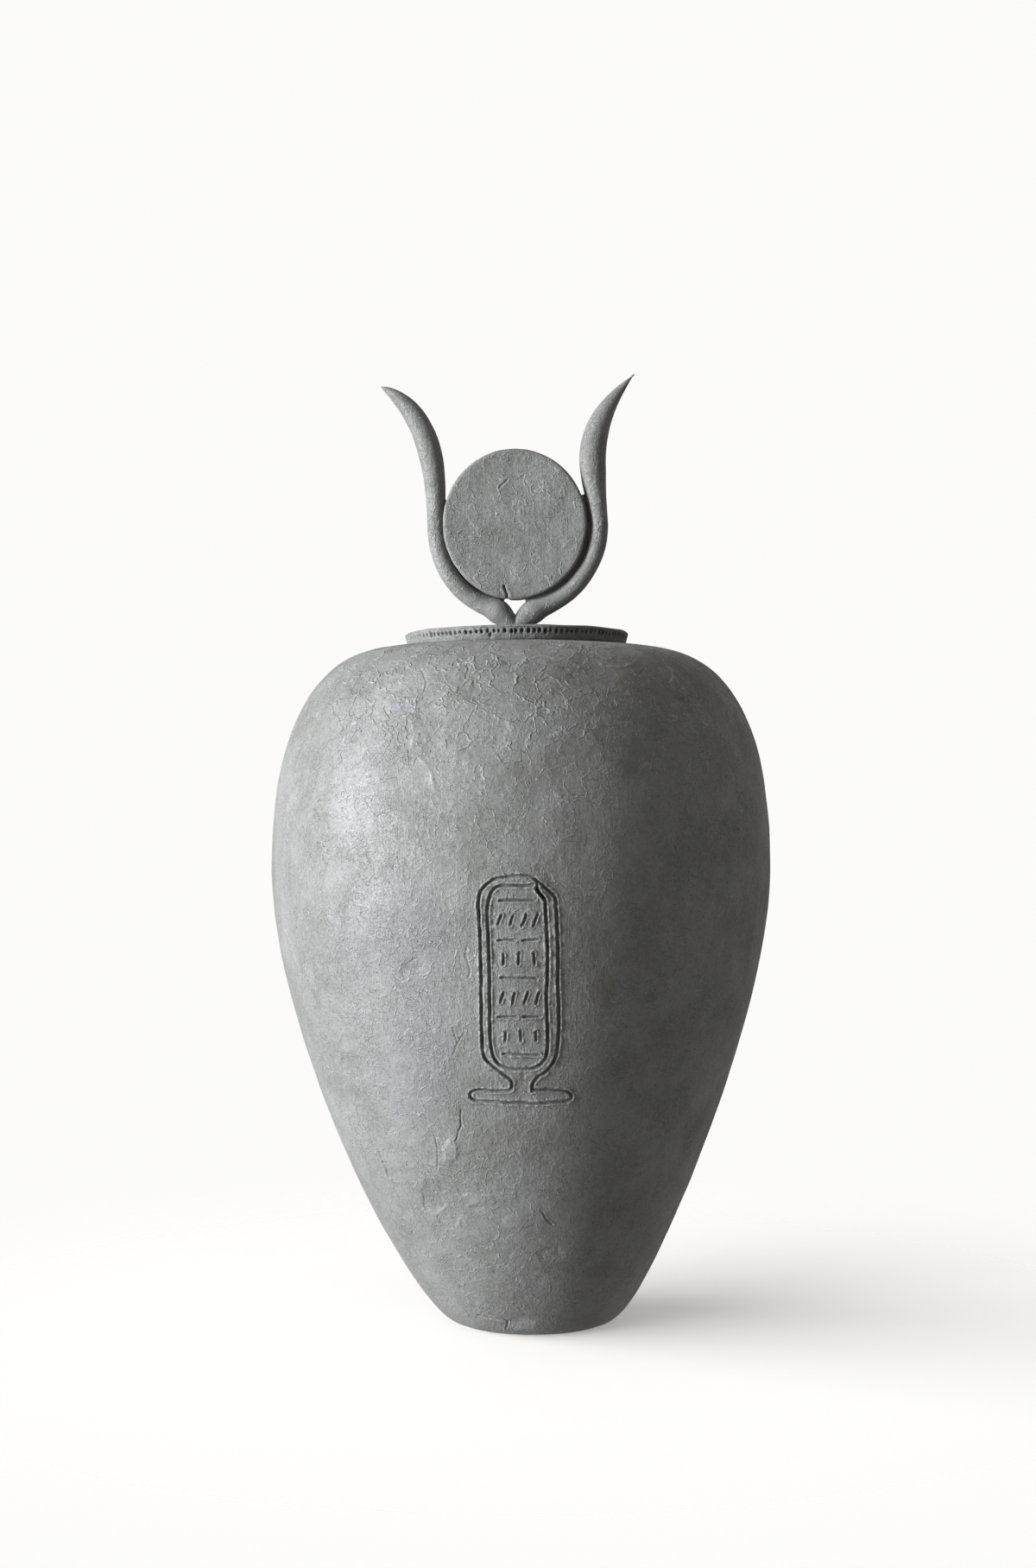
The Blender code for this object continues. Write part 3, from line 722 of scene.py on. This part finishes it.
JAR_DENTS = [
    (0.8, -51, 91, 7, 11, 0.8),
    (0.6, -43, 78, 6, 7, 0.8),
    (-0.7, -41, 120, 5, 8, 0.8),
    (-0.7, -27, 91, 12, 5, 0.8),
    (-0.4, -3, 78, 10, 4, 0.8),
    (0.6, 17, 57, 8, 5, 0.8),
    (0.7, -98, 166, 9, 8, 0.8),
    (0.5, -62, 227, 8, 6, 0.8),
    (0.8, -94, 390, 8, 5, 0.8),
    (-0.7, -70, 381, 14, 6, 0.8),
]
jar.data.materials.append(clay_finish("jar_clay", JAR_PATCHES, 1.0, JAR_DENTS))
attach(jar, "root")
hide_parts("vessel_body")

# The lid. A round plate of the same clay that lies on the shoulder, with a ring under it that sits
# loosely in the mouth. Its edge is pricked with one row of small holes, and it warped a little.
LID_RADIUS = 69.6 * MM
LID_BOTTOM = SEAT_HEIGHT + 0.3 * MM
LID_TOP = LID_BOTTOM + 9.5 * MM
LID_UNDERCUT = 2.0 * MM
LID_EDGE_ROUNDING = 1.6 * MM
LID_X = -2.7 * MM
LID_WARP = 0.011
FLANGE_RADIUS = 50.5 * MM
FLANGE_WALL = 6 * MM
FLANGE_DEPTH = 12 * MM
LID_COLUMNS = 240
HOLES = 124
HOLE_HEIGHT = 423.0 * MM
HOLE_RADIUS = 1.12
HOLE_DEPTH = 1.5
HOLE_STRETCH = 0.7
HOLE_SLIP = 0.10
HOLE_LIFT = 0.16
HOLE_SPREAD = 0.12
RIM_HILLS = [(0.30, 14, 6), (0.14, 5, 7)]
TOP_HILLS = [(0.35, 18, 8)]
TOP_SINK = 0.35
RIM_CHIP = (-11.0, 421.0, 3.4, 2.0)
RIM_CHIP_HEIGHT = 0.6
RIM_TEAR = (-15.6, 421.2, 0.9, 1.8)
RIM_TEAR_DEPTH = 1.5

rim = arc((LID_RADIUS - LID_EDGE_ROUNDING, LID_TOP - LID_EDGE_ROUNDING), LID_EDGE_ROUNDING, math.pi / 2, 0, 4)
rim_side = evenly(np.array([rim[-1], (LID_RADIUS - LID_UNDERCUT, LID_BOTTOM)]), 1.6 * MM)
plate_top = [(radius, LID_TOP) for radius in np.linspace(0, LID_RADIUS - LID_EDGE_ROUNDING, 16)]
under = [
    (FLANGE_RADIUS, LID_BOTTOM),
    (FLANGE_RADIUS, LID_BOTTOM - FLANGE_DEPTH),
    (FLANGE_RADIUS - FLANGE_WALL, LID_BOTTOM - FLANGE_DEPTH),
    (FLANGE_RADIUS - FLANGE_WALL, LID_BOTTOM),
    (0, LID_BOTTOM),
]
lid_profile = np.concatenate([plate_top, rim[1:], rim_side[1:], under])
lid = throw(draw_profile("horned_lid_clay", lid_profile), LID_COLUMNS)
for reach in (4.2 * MM, 3.2 * MM):
    centres = face_centres(lid)
    on_rim = np.hypot(centres[:, 0], centres[:, 1]) > LID_RADIUS - 3 * MM
    split_faces(lid, on_rim & (abs(centres[:, 2] - HOLE_HEIGHT) < reach))

places = corners_of(lid)
chance = np.random.default_rng(5)
radii = np.hypot(places[:, 0], places[:, 1])
turn = np.arctan2(places[:, 1], places[:, 0])
on_rim = (radii > LID_RADIUS - 3 * MM) & (places[:, 2] > LID_BOTTOM + 0.3 * MM)
inward = np.zeros(len(places))
for number in range(HOLES):
    hole_turn = -math.pi + (number + chance.normal(0, HOLE_SLIP)) * 2 * math.pi / HOLES
    hole_height = HOLE_HEIGHT + chance.normal(0, HOLE_LIFT) * MM
    around = (turn - hole_turn + math.pi) % (2 * math.pi) - math.pi
    gap = np.hypot(around * LID_RADIUS, (places[:, 2] - hole_height) * HOLE_STRETCH) / MM
    size = HOLE_RADIUS * (1 + chance.normal(0, HOLE_SPREAD))
    from_front = abs((hole_turn + math.pi / 2 + math.pi) % (2 * math.pi) - math.pi)
    depth = HOLE_DEPTH * (1 - 0.12 * min(1, from_front / 1.4)) * (1 + chance.normal(0, HOLE_SPREAD))
    inward += depth * np.clip(1 - (gap / size) ** 2, 0, 1) ** 0.8 * on_rim
inward -= on_rim * hills(places, RIM_HILLS)
flat = places[:, [0, 2]] / MM
torn = RIM_TEAR_DEPTH * swelling(flat, *RIM_TEAR) - RIM_CHIP_HEIGHT * swelling(flat, *RIM_CHIP)
inward += on_rim * (places[:, 1] < 0) * torn
inward = np.maximum(inward, -0.1) * MM
scale = np.where(on_rim, 1 - inward / LID_RADIUS, 1)
places[:, 0] *= scale
places[:, 1] *= scale
top = places[:, 2] > LID_BOTTOM + 8 * MM
places[:, 2] += top * MM * (hills(places, TOP_HILLS) - TOP_SINK) * np.clip(radii / (30 * MM), 0, 1)
lift = LID_WARP * (places[:, 0] + LID_RADIUS)
plate = places[:, 2] > LID_BOTTOM - MM
places[:, 2] += np.where(plate, np.minimum(lift, 1.5 * MM), 0)
places[:, 0] += LID_X
set_corners(lid, places)
# The holes' and the tear's depths are kept for painted shade in them.
keep_hollows(lid, np.where(on_rim, -2.2 * np.maximum(inward, 0) / MM, 0))
bpy.ops.object.shade_smooth()

# The sun disc. A flat cake of clay that stands upright on the horns' roots, pressed and smoothed by
# hand, with a cleft in its lower edge, one slanting scratch and small nicks round its rim.
DISC_HALF_WIDTH = 45.2 * MM
DISC_HALF_HEIGHT = 47.2 * MM
DISC_HALF_THICKNESS = 7 * MM
DISC_EDGE_ROUNDING = 2.0 * MM
DISC_X = LID_X - 1.2 * MM
DISC_Z = LID_TOP + 21.5 * MM + DISC_HALF_HEIGHT
DISC_COLUMNS = 160
DISC_CLEFT = [(-4.6, -48.5), (-5.0, -44.5), (-6.0, -41.5), (-6.6, -39.0)]
DISC_SCRATCH = [(-9.6, 22.2), (-6.8, 25.0), (-4.6, 27.0)]
DISC_PITS = [
    (31.6, 16.5, 1.26), (14, -22, 0.98), (-22, 11, 0.84), (-18, 23.5, 0.84), (8, 36, 0.7), (-30, -20, 0.84),
]
DISC_PIT_DEPTH = 0.5
CLEFT_HALF_WIDTH = 1.1
CLEFT_DEPTH = 1.6
CLEFT_UP, CLEFT_REACH = -44, 6
SCRATCH_HALF_WIDTH = 0.9
SCRATCH_DEPTH = 0.7
DISC_FOLD = (-4.0, -33, 3.2, 8.5)
DISC_HILLS = [(0.5, 24, 9), (0.22, 9, 10)]
DISC_RIM_WAVES = [(0.25, 12, 12), (0.18, 5, 13)]

flat_reach = DISC_HALF_WIDTH - DISC_EDGE_ROUNDING
face_line = [(radius, DISC_HALF_THICKNESS) for radius in np.linspace(0, flat_reach, 24)]
edge_centres = (DISC_HALF_THICKNESS - DISC_EDGE_ROUNDING, DISC_EDGE_ROUNDING - DISC_HALF_THICKNESS)
upper_edge = arc((flat_reach, edge_centres[0]), DISC_EDGE_ROUNDING, math.pi / 2, 0, 5)
lower_edge = arc((flat_reach, edge_centres[1]), DISC_EDGE_ROUNDING, 0, -math.pi / 2, 5)
back_line = [(radius, -DISC_HALF_THICKNESS) for radius in np.linspace(flat_reach, 0, 9)[1:]]
disc = throw(
    draw_profile("sun_disc", np.concatenate([face_line, upper_edge[1:], lower_edge, back_line])),
    DISC_COLUMNS,
)
places = corners_of(disc)
places = np.stack([places[:, 0], -places[:, 2], places[:, 1] * DISC_HALF_HEIGHT / DISC_HALF_WIDTH], axis=1)
set_corners(disc, places)
disc_lines = [by_hand(DISC_CLEFT, 40), by_hand(DISC_SCRATCH, 41)]
for reach in (4.5, 2.4):
    centres = face_centres(disc)
    flat = centres[:, [0, 2]] / MM
    wanted = np.zeros(len(centres), bool)
    for line in disc_lines:
        wanted |= measure_to_line(flat, line)[0] < reach
    split_faces(disc, wanted & (centres[:, 1] < 0))

places = corners_of(disc)
flat = places[:, [0, 2]] / MM
on_face = np.clip(-places[:, 1] / DISC_HALF_THICKNESS, 0, 1) ** 2
cleft_line, scratch_line = disc_lines
cleft_gap = measure_to_line(flat, cleft_line)[0]
cleft = np.clip(1 - (cleft_gap / CLEFT_HALF_WIDTH) ** 2, 0, 1) ** 1.5
beside_cleft = flat[:, 0] - np.interp(flat[:, 1], cleft_line[:, 1], cleft_line[:, 0])
across_cleft = np.column_stack([beside_cleft, flat[:, 1]])
lip = swelling(across_cleft, 2.2, CLEFT_UP, 1.3, CLEFT_REACH)
pressed = swelling(across_cleft, -2.5, CLEFT_UP, 2.5, CLEFT_REACH)
fold = swelling(flat, *DISC_FOLD)
disc_cuts = cut_height(flat, scratch_line, SCRATCH_HALF_WIDTH, SCRATCH_DEPTH, 91) - CLEFT_DEPTH * cleft
relief = hills(places, DISC_HILLS) - 0.25 + disc_cuts - 0.45 * fold - 0.5 * pressed + 0.3 * lip
for across, up, reach in DISC_PITS:
    relief -= DISC_PIT_DEPTH * swelling(flat, across, up, reach, reach)
places[:, 1] -= np.minimum(relief, 0.1) * MM * on_face
rim_share = np.hypot(places[:, 0] / DISC_HALF_WIDTH, places[:, 2] / DISC_HALF_HEIGHT)
rim_wave = (hills(places, DISC_RIM_WAVES) - 0.3) * MM / DISC_HALF_WIDTH
squeeze = 1 + np.clip(rim_share - 0.9, 0, 0.1) * 10 * rim_wave
squeeze -= 0.022 * np.exp(-((cleft_gap / 1.3) ** 2)) * (rim_share > 0.93)
places[:, 0] *= squeeze
places[:, 2] *= squeeze
places += np.array([DISC_X, 0, DISC_Z])
set_corners(disc, places)
# The cleft, scratch and fold are kept for painted shade, and the lip beside the cleft for painted highlight.
keep_hollows(disc, (disc_cuts + 0.35 * lip - 0.25 * fold) * on_face)
start_edit(disc, "FACE")
bpy.ops.mesh.select_all(action="SELECT")
bpy.ops.mesh.normals_make_consistent(inside=False)
bpy.ops.object.mode_set(mode="OBJECT")
bpy.ops.object.shade_smooth()

# The horns. Two rolled coils of clay that start together in the lid, hug the disc and swing out to
# pointed tips. Each was drawn thicker above the disc and thinned to its point between the fingers.
HORN_RADIUS = 5.7 * MM
HORN_ROOT_TURN = math.radians(55)
HORN_ROOT_PULL = 17 * MM
HORN_BEND_PULL = 10 * MM
HORN_BEND_SWELL = 2.0 * MM
HORN_SINK = 3 * MM
HORN_TIP_RADIUS = 0.4 * MM
HORN_SIDES = 40
HORN_STEP = 2.2 * MM
HORNS = {
    "left": {
        "side": -1, "under": 71, "gap_under": 1.0, "gap_beside": -1.9, "full_radius": 7.4, "full_at": 0.50,
        "bluntness": 0.70, "tip": (-83.6, 86.3), "tip_turn": 26.1, "lean": 3.0, "pull": 16.0,
        "tip_pull": 42.2, "seam": (82, -20),
    },
    "right": {
        "side": 1, "under": 70, "gap_under": 1.5, "gap_beside": 1.8, "full_radius": 8.3, "full_at": 0.42,
        "bluntness": 1.0, "tip": (74.6, 94.1), "tip_turn": 45.7, "lean": -5.0, "pull": 36.3,
        "tip_pull": 51.6, "seam": (82, -24),
    },
}
HORN_HILLS = [(0.22, 15, 14), (0.1, 6, 15)]
HORN_TOP = 0.588
HORN_FADE = 20 * MM
SEAM_RADIUS = 2.4 * MM
SEAM_DROP = (0.9 * MM, 0.6 * MM)
SEAM_POINTS = 40
SEAM_BACK = 2.2 * MM
ROOT_CROSSING = 4.1 * MM


def beside_disc(horn, below, distance):
    """Places beside the disc, at angles counted down from level on the horn's side."""
    turn = -np.radians(np.asarray(below, float))
    slant = np.hypot(DISC_HALF_HEIGHT * np.cos(turn), DISC_HALF_WIDTH * np.sin(turn))
    reach = DISC_HALF_WIDTH * DISC_HALF_HEIGHT / slant + distance
    return np.stack([DISC_X + horn["side"] * reach * np.cos(turn), DISC_Z + reach * np.sin(turn)], axis=1)


def horn_line(horn):
    """Sideways place, height and radius along a horn, from its root in the lid to its tip."""
    side = horn["side"]
    below = np.linspace(horn["under"], 0, 41)
    ease = 0.5 + 0.5 * np.cos(np.pi * (1 - below / horn["under"]))
    gap = (horn["gap_beside"] + (horn["gap_under"] - horn["gap_beside"]) * ease) * MM
    hug = beside_disc(horn, below, gap + HORN_RADIUS)
    root = np.array([DISC_X - side * ROOT_CROSSING, LID_TOP - HORN_SINK])
    first_way = (hug[1] - hug[0]) / np.linalg.norm(hug[1] - hug[0])
    root_way = np.array([side * math.cos(HORN_ROOT_TURN), math.sin(HORN_ROOT_TURN)])
    rise = bezier(root, root + HORN_ROOT_PULL * root_way, hug[0] - HORN_BEND_PULL * first_way, hug[0], 20)
    lean, tip_turn = math.radians(horn["lean"]), math.radians(horn["tip_turn"])
    tip = np.array([DISC_X, DISC_Z]) + np.array(horn["tip"]) * MM
    sweep = bezier(
        hug[-1],
        hug[-1] + horn["pull"] * MM * np.array([side * math.sin(lean), math.cos(lean)]),
        tip - horn["tip_pull"] * MM * np.array([side * math.cos(tip_turn), math.sin(tip_turn)]),
        tip,
        80,
    )
    lengths = np.concatenate([[0], np.cumsum(np.linalg.norm(np.diff(sweep, axis=0), axis=1))])
    share = lengths / lengths[-1]
    swell = 0.5 - 0.5 * np.cos(np.pi * np.clip(share / horn["full_at"], 0, 1))
    full = HORN_RADIUS + (horn["full_radius"] * MM - HORN_RADIUS) * swell
    left_over = np.clip((1 - share) / (1 - horn["full_at"]), 0, 1)
    sweep_radii = np.maximum(full * np.sin(np.pi / 2 * left_over ** horn["bluntness"]), HORN_TIP_RADIUS)
    centre_line = np.concatenate([rise[:-1], hug, sweep[1:]])
    bend = np.sin(np.pi * np.clip((np.linspace(0, 1, len(rise)) - 0.25) / 0.9, 0, 1)) ** 2
    rise_radii = HORN_RADIUS + HORN_BEND_SWELL * bend
    hug_swell = np.exp(-((np.arange(len(hug)) / 3.0) ** 2)) * (rise_radii[-1] - HORN_RADIUS)
    radii = np.concatenate([rise_radii[:-1], HORN_RADIUS + hug_swell, sweep_radii[1:]])
    return evenly(np.column_stack([centre_line, radii]), HORN_STEP)


def roll_coil(name, line, sides):
    """A coil of clay along a line in the plane of the disc, grown ring by ring from its first end."""
    ways = np.gradient(line[:, :2], axis=0)
    turns = np.unwrap(np.arctan2(ways[:, 1], ways[:, 0]))
    bpy.ops.object.select_all(action="DESELECT")
    bpy.ops.mesh.primitive_circle_add(
        vertices=sides,
        radius=line[0][2],
        fill_type="NGON",
        location=(line[0][0], 0, line[0][1]),
    )
    coil = bpy.context.object
    coil.name = name
    bpy.ops.object.transform_apply(location=True, rotation=True, scale=True)
    start_edit(coil, "FACE")
    bpy.ops.mesh.select_all(action="SELECT")
    spot = (line[0][0], 0, line[0][1])
    bpy.ops.transform.rotate(value=turns[0] - math.pi / 2, orient_axis="Y", center_override=spot)
    for number in range(1, len(line)):
        before, after = line[number - 1], line[number]
        spot = (after[0], 0, after[1])
        step = (after[0] - before[0], 0, after[1] - before[1])
        bpy.ops.mesh.extrude_region_move(TRANSFORM_OT_translate={"value": step})
        turned = turns[number] - turns[number - 1]
        bpy.ops.transform.rotate(value=turned, orient_axis="Y", center_override=spot)
        grow = after[2] / before[2]
        bpy.ops.transform.resize(value=(grow, grow, grow), center_override=spot)
    bpy.ops.mesh.select_all(action="SELECT")
    bpy.ops.mesh.normals_make_consistent(inside=False)
    bpy.ops.object.mode_set(mode="OBJECT")
    return coil


coils = []
for name, horn in HORNS.items():
    coil = roll_coil(f"{name}_horn", horn_line(horn), HORN_SIDES)
    places = corners_of(coil)
    wave = hills(places, HORN_HILLS)
    normals = np.empty(len(places) * 3, np.float32)
    coil.data.vertices.foreach_get("normal", normals)
    fade = np.clip((places[:, 2] - LID_TOP) / HORN_FADE, 0, 1)
    fade *= np.clip((HORN_TOP - places[:, 2]) / HORN_FADE, 0, 1)
    set_corners(coil, places + normals.reshape(-1, 3) * (wave * fade * MM)[:, None])
    bpy.ops.object.shade_smooth()
    coils.append(coil)
    seam = beside_disc(horn, np.linspace(*horn["seam"], SEAM_POINTS), np.linspace(*SEAM_DROP, SEAM_POINTS))
    seam_radii = SEAM_RADIUS * np.clip(0.45 + np.arange(SEAM_POINTS) / 10, 0, 1)
    seam_line = evenly(np.column_stack([seam, seam_radii]), 3 * MM)
    filler = roll_coil(f"{name}_seam", seam_line, 16)
    set_corners(filler, corners_of(filler) + np.array([0, SEAM_BACK, 0]))
    bpy.ops.object.shade_smooth()
    coils.append(filler)

# The disc and the horns were stuck on the lid while wet, so they are one piece with it.
bpy.ops.object.select_all(action="DESELECT")
for item in [disc, *coils, lid]:
    item.select_set(True)
bpy.context.view_layer.objects.active = lid
bpy.ops.object.join()
LID_PATCHES = [
    (CLAY_DARK, 0.5, -27, 526, 8, 13),
    (CLAY_DARK, 0.45, -42, 500, 6, 16),
    (CLAY_DARK, 0.35, -34, 478, 10, 10),
    (CLAY_PALE, 0.22, -18, 504, 8, 13),
    (CLAY_PALE, 0.20, 1, 526, 9, 8),
    (CLAY_PALE, 0.20, 33, 502, 6, 15),
    (CLAY_PALE, 0.20, -8, 470, 6, 9),
]
lid.data.materials.append(clay_finish("lid_clay", LID_PATCHES, 0.3))
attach(lid, "root")
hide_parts("horned_lid")

# The floor and the light. A wide pale floor that fades into a white room, a tall soft window on the
# left and a little to the front that lights the jar, low washes from the same side that draw its shadow
# on the floor, and weak warm light from all round.
FLOOR_HALF = 12.0
FLOOR_COLOUR = (0.50, 0.50, 0.50, 1)
FLOOR_FADE = (0.08, 0.62)
WINDOW_COLOUR = (0.965, 0.985, 1.0)
WINDOW_POWER = 264
WINDOW_SIZE = (0.9, 2.2)
WINDOW_PLACE = (-2.32, -0.93, 0.62)
JAR_MIDDLE = (0, 0, 0.30)
WASH_TURNS = (-104, -84, -64, -44)
WASH_RISE = 12
WASH_SPREAD = 26
WASH_STRENGTH = 3.6
BASE_STRENGTH = 2.1
BASE_SPREAD = 40
BASE_TURN = -60
BASE_RISE = 80
BASE_COLOUR = (1.0, 0.99, 0.93)
SEEN_ROOM = (0.97, 0.965, 0.955, 1)
ROOM_COLOUR = (1.0, 0.975, 0.92, 1)
ROOM_LIGHT = (0.33, 0.47)

bpy.ops.object.select_all(action="DESELECT")
bpy.ops.mesh.primitive_plane_add(size=2 * FLOOR_HALF, location=(0, 0, 0))
floor = bpy.context.object
floor.name = "pale_floor"
paint = Finish("pale_floor")
paint.shader.inputs["Base Color"].default_value = FLOOR_COLOUR
paint.shader.inputs["Roughness"].default_value = 0.9
paint.shader.inputs["Specular IOR Level"].default_value = 0.0
far = paint.add("ShaderNodeVectorMath", operation="LENGTH")
paint.join(paint.place, far.inputs[0])
fading = paint.add("ShaderNodeMixShader")
paint.join(paint.spread(far.outputs["Value"], *FLOOR_FADE), fading.inputs["Fac"])
paint.join(paint.shader.outputs[0], fading.inputs[1])
paint.join(paint.add("ShaderNodeBsdfTransparent").outputs[0], fading.inputs[2])
paint.join(fading.outputs[0], paint.tree.nodes["Material Output"].inputs["Surface"])
floor.data.materials.append(paint.material)
floor.visible_diffuse = False
floor.visible_glossy = False
floor.visible_shadow = False


def light_only(lamp, *items):
    """Lets a lamp light these objects and nothing else."""
    lit = bpy.data.collections.new(f"lit_by_{lamp.name}")
    for item in items:
        lit.objects.link(item)
    lamp.light_linking.receiver_collection = lit


def aim(lamp, back):
    lamp.rotation_euler = back.to_track_quat("Z", "Y").to_euler()


bpy.ops.object.light_add(type="AREA", location=WINDOW_PLACE)
window = bpy.context.object
window.name = "window"
window.data.shape = "RECTANGLE"
window.data.size, window.data.size_y = WINDOW_SIZE
window.data.energy = WINDOW_POWER
window.data.color = WINDOW_COLOUR
aim(window, Vector(WINDOW_PLACE) - Vector(JAR_MIDDLE))
light_only(window, jar, lid)


def add_wash(name, strength, spread, turn_deg, rise_deg):
    bpy.ops.object.light_add(type="SUN", location=(-2, -0.4, 2))
    wash = bpy.context.object
    wash.name = name
    wash.data.energy = strength
    wash.data.angle = math.radians(spread)
    way, rise = math.radians(turn_deg), math.radians(rise_deg)
    aim(wash, Vector((math.cos(rise) * math.sin(way), -math.cos(rise) * math.cos(way), math.sin(rise))))
    light_only(wash, floor)
    return wash


for number, turn_deg in enumerate(WASH_TURNS):
    add_wash(f"low_wash_{number}", WASH_STRENGTH, WASH_SPREAD, turn_deg, WASH_RISE)
base_wash = add_wash("base_wash", BASE_STRENGTH, BASE_SPREAD, BASE_TURN, BASE_RISE)
base_wash.data.color = BASE_COLOUR
unshaded = bpy.data.collections.new("shaded_from_base")
unshaded.objects.link(floor)
base_wash.light_linking.blocker_collection = unshaded

world = bpy.data.worlds.new("room")
bpy.context.scene.world = world
world.use_nodes = True
room = world.node_tree
room.nodes.clear()
seen = room.nodes.new("ShaderNodeBackground")
seen.inputs["Color"].default_value = SEEN_ROOM
lighting = room.nodes.new("ShaderNodeBackground")
lighting.inputs["Color"].default_value = ROOM_COLOUR
direction = room.nodes.new("ShaderNodeTexCoord")
direction_axes = room.nodes.new("ShaderNodeSeparateXYZ")
brighter_up = room.nodes.new("ShaderNodeMapRange")
brighter_up.inputs["From Min"].default_value = -1
brighter_up.inputs["To Min"].default_value, brighter_up.inputs["To Max"].default_value = ROOM_LIGHT
seen_or_lighting = room.nodes.new("ShaderNodeMixShader")
ray = room.nodes.new("ShaderNodeLightPath")
surface = room.nodes.new("ShaderNodeOutputWorld")
for output, socket in (
    (direction.outputs["Generated"], direction_axes.inputs[0]),
    (direction_axes.outputs["Z"], brighter_up.inputs["Value"]),
    (brighter_up.outputs[0], lighting.inputs["Strength"]),
    (ray.outputs["Is Camera Ray"], seen_or_lighting.inputs["Fac"]),
    (lighting.outputs[0], seen_or_lighting.inputs[1]),
    (seen.outputs[0], seen_or_lighting.inputs[2]),
    (seen_or_lighting.outputs[0], surface.inputs["Surface"]),
):
    room.links.new(output, socket)
bpy.context.scene.view_settings.view_transform = "Standard"

# The camera stands level in front of the jar, a little above the belly.
CAMERA_PLACE = (-0.0019, -1.3619, 0.3116)
LENS = 50
SENSOR_WIDTH = 36
IMAGE_HEIGHT = 1816
LEVEL_ROW_BELOW_MIDDLE = 41

bpy.ops.object.camera_add(location=CAMERA_PLACE, rotation=(math.pi / 2, 0, 0))
camera = bpy.context.object
camera.data.lens = LENS
camera.data.sensor_width = SENSOR_WIDTH
camera.data.shift_y = LEVEL_ROW_BELOW_MIDDLE / IMAGE_HEIGHT
bpy.context.scene.camera = camera
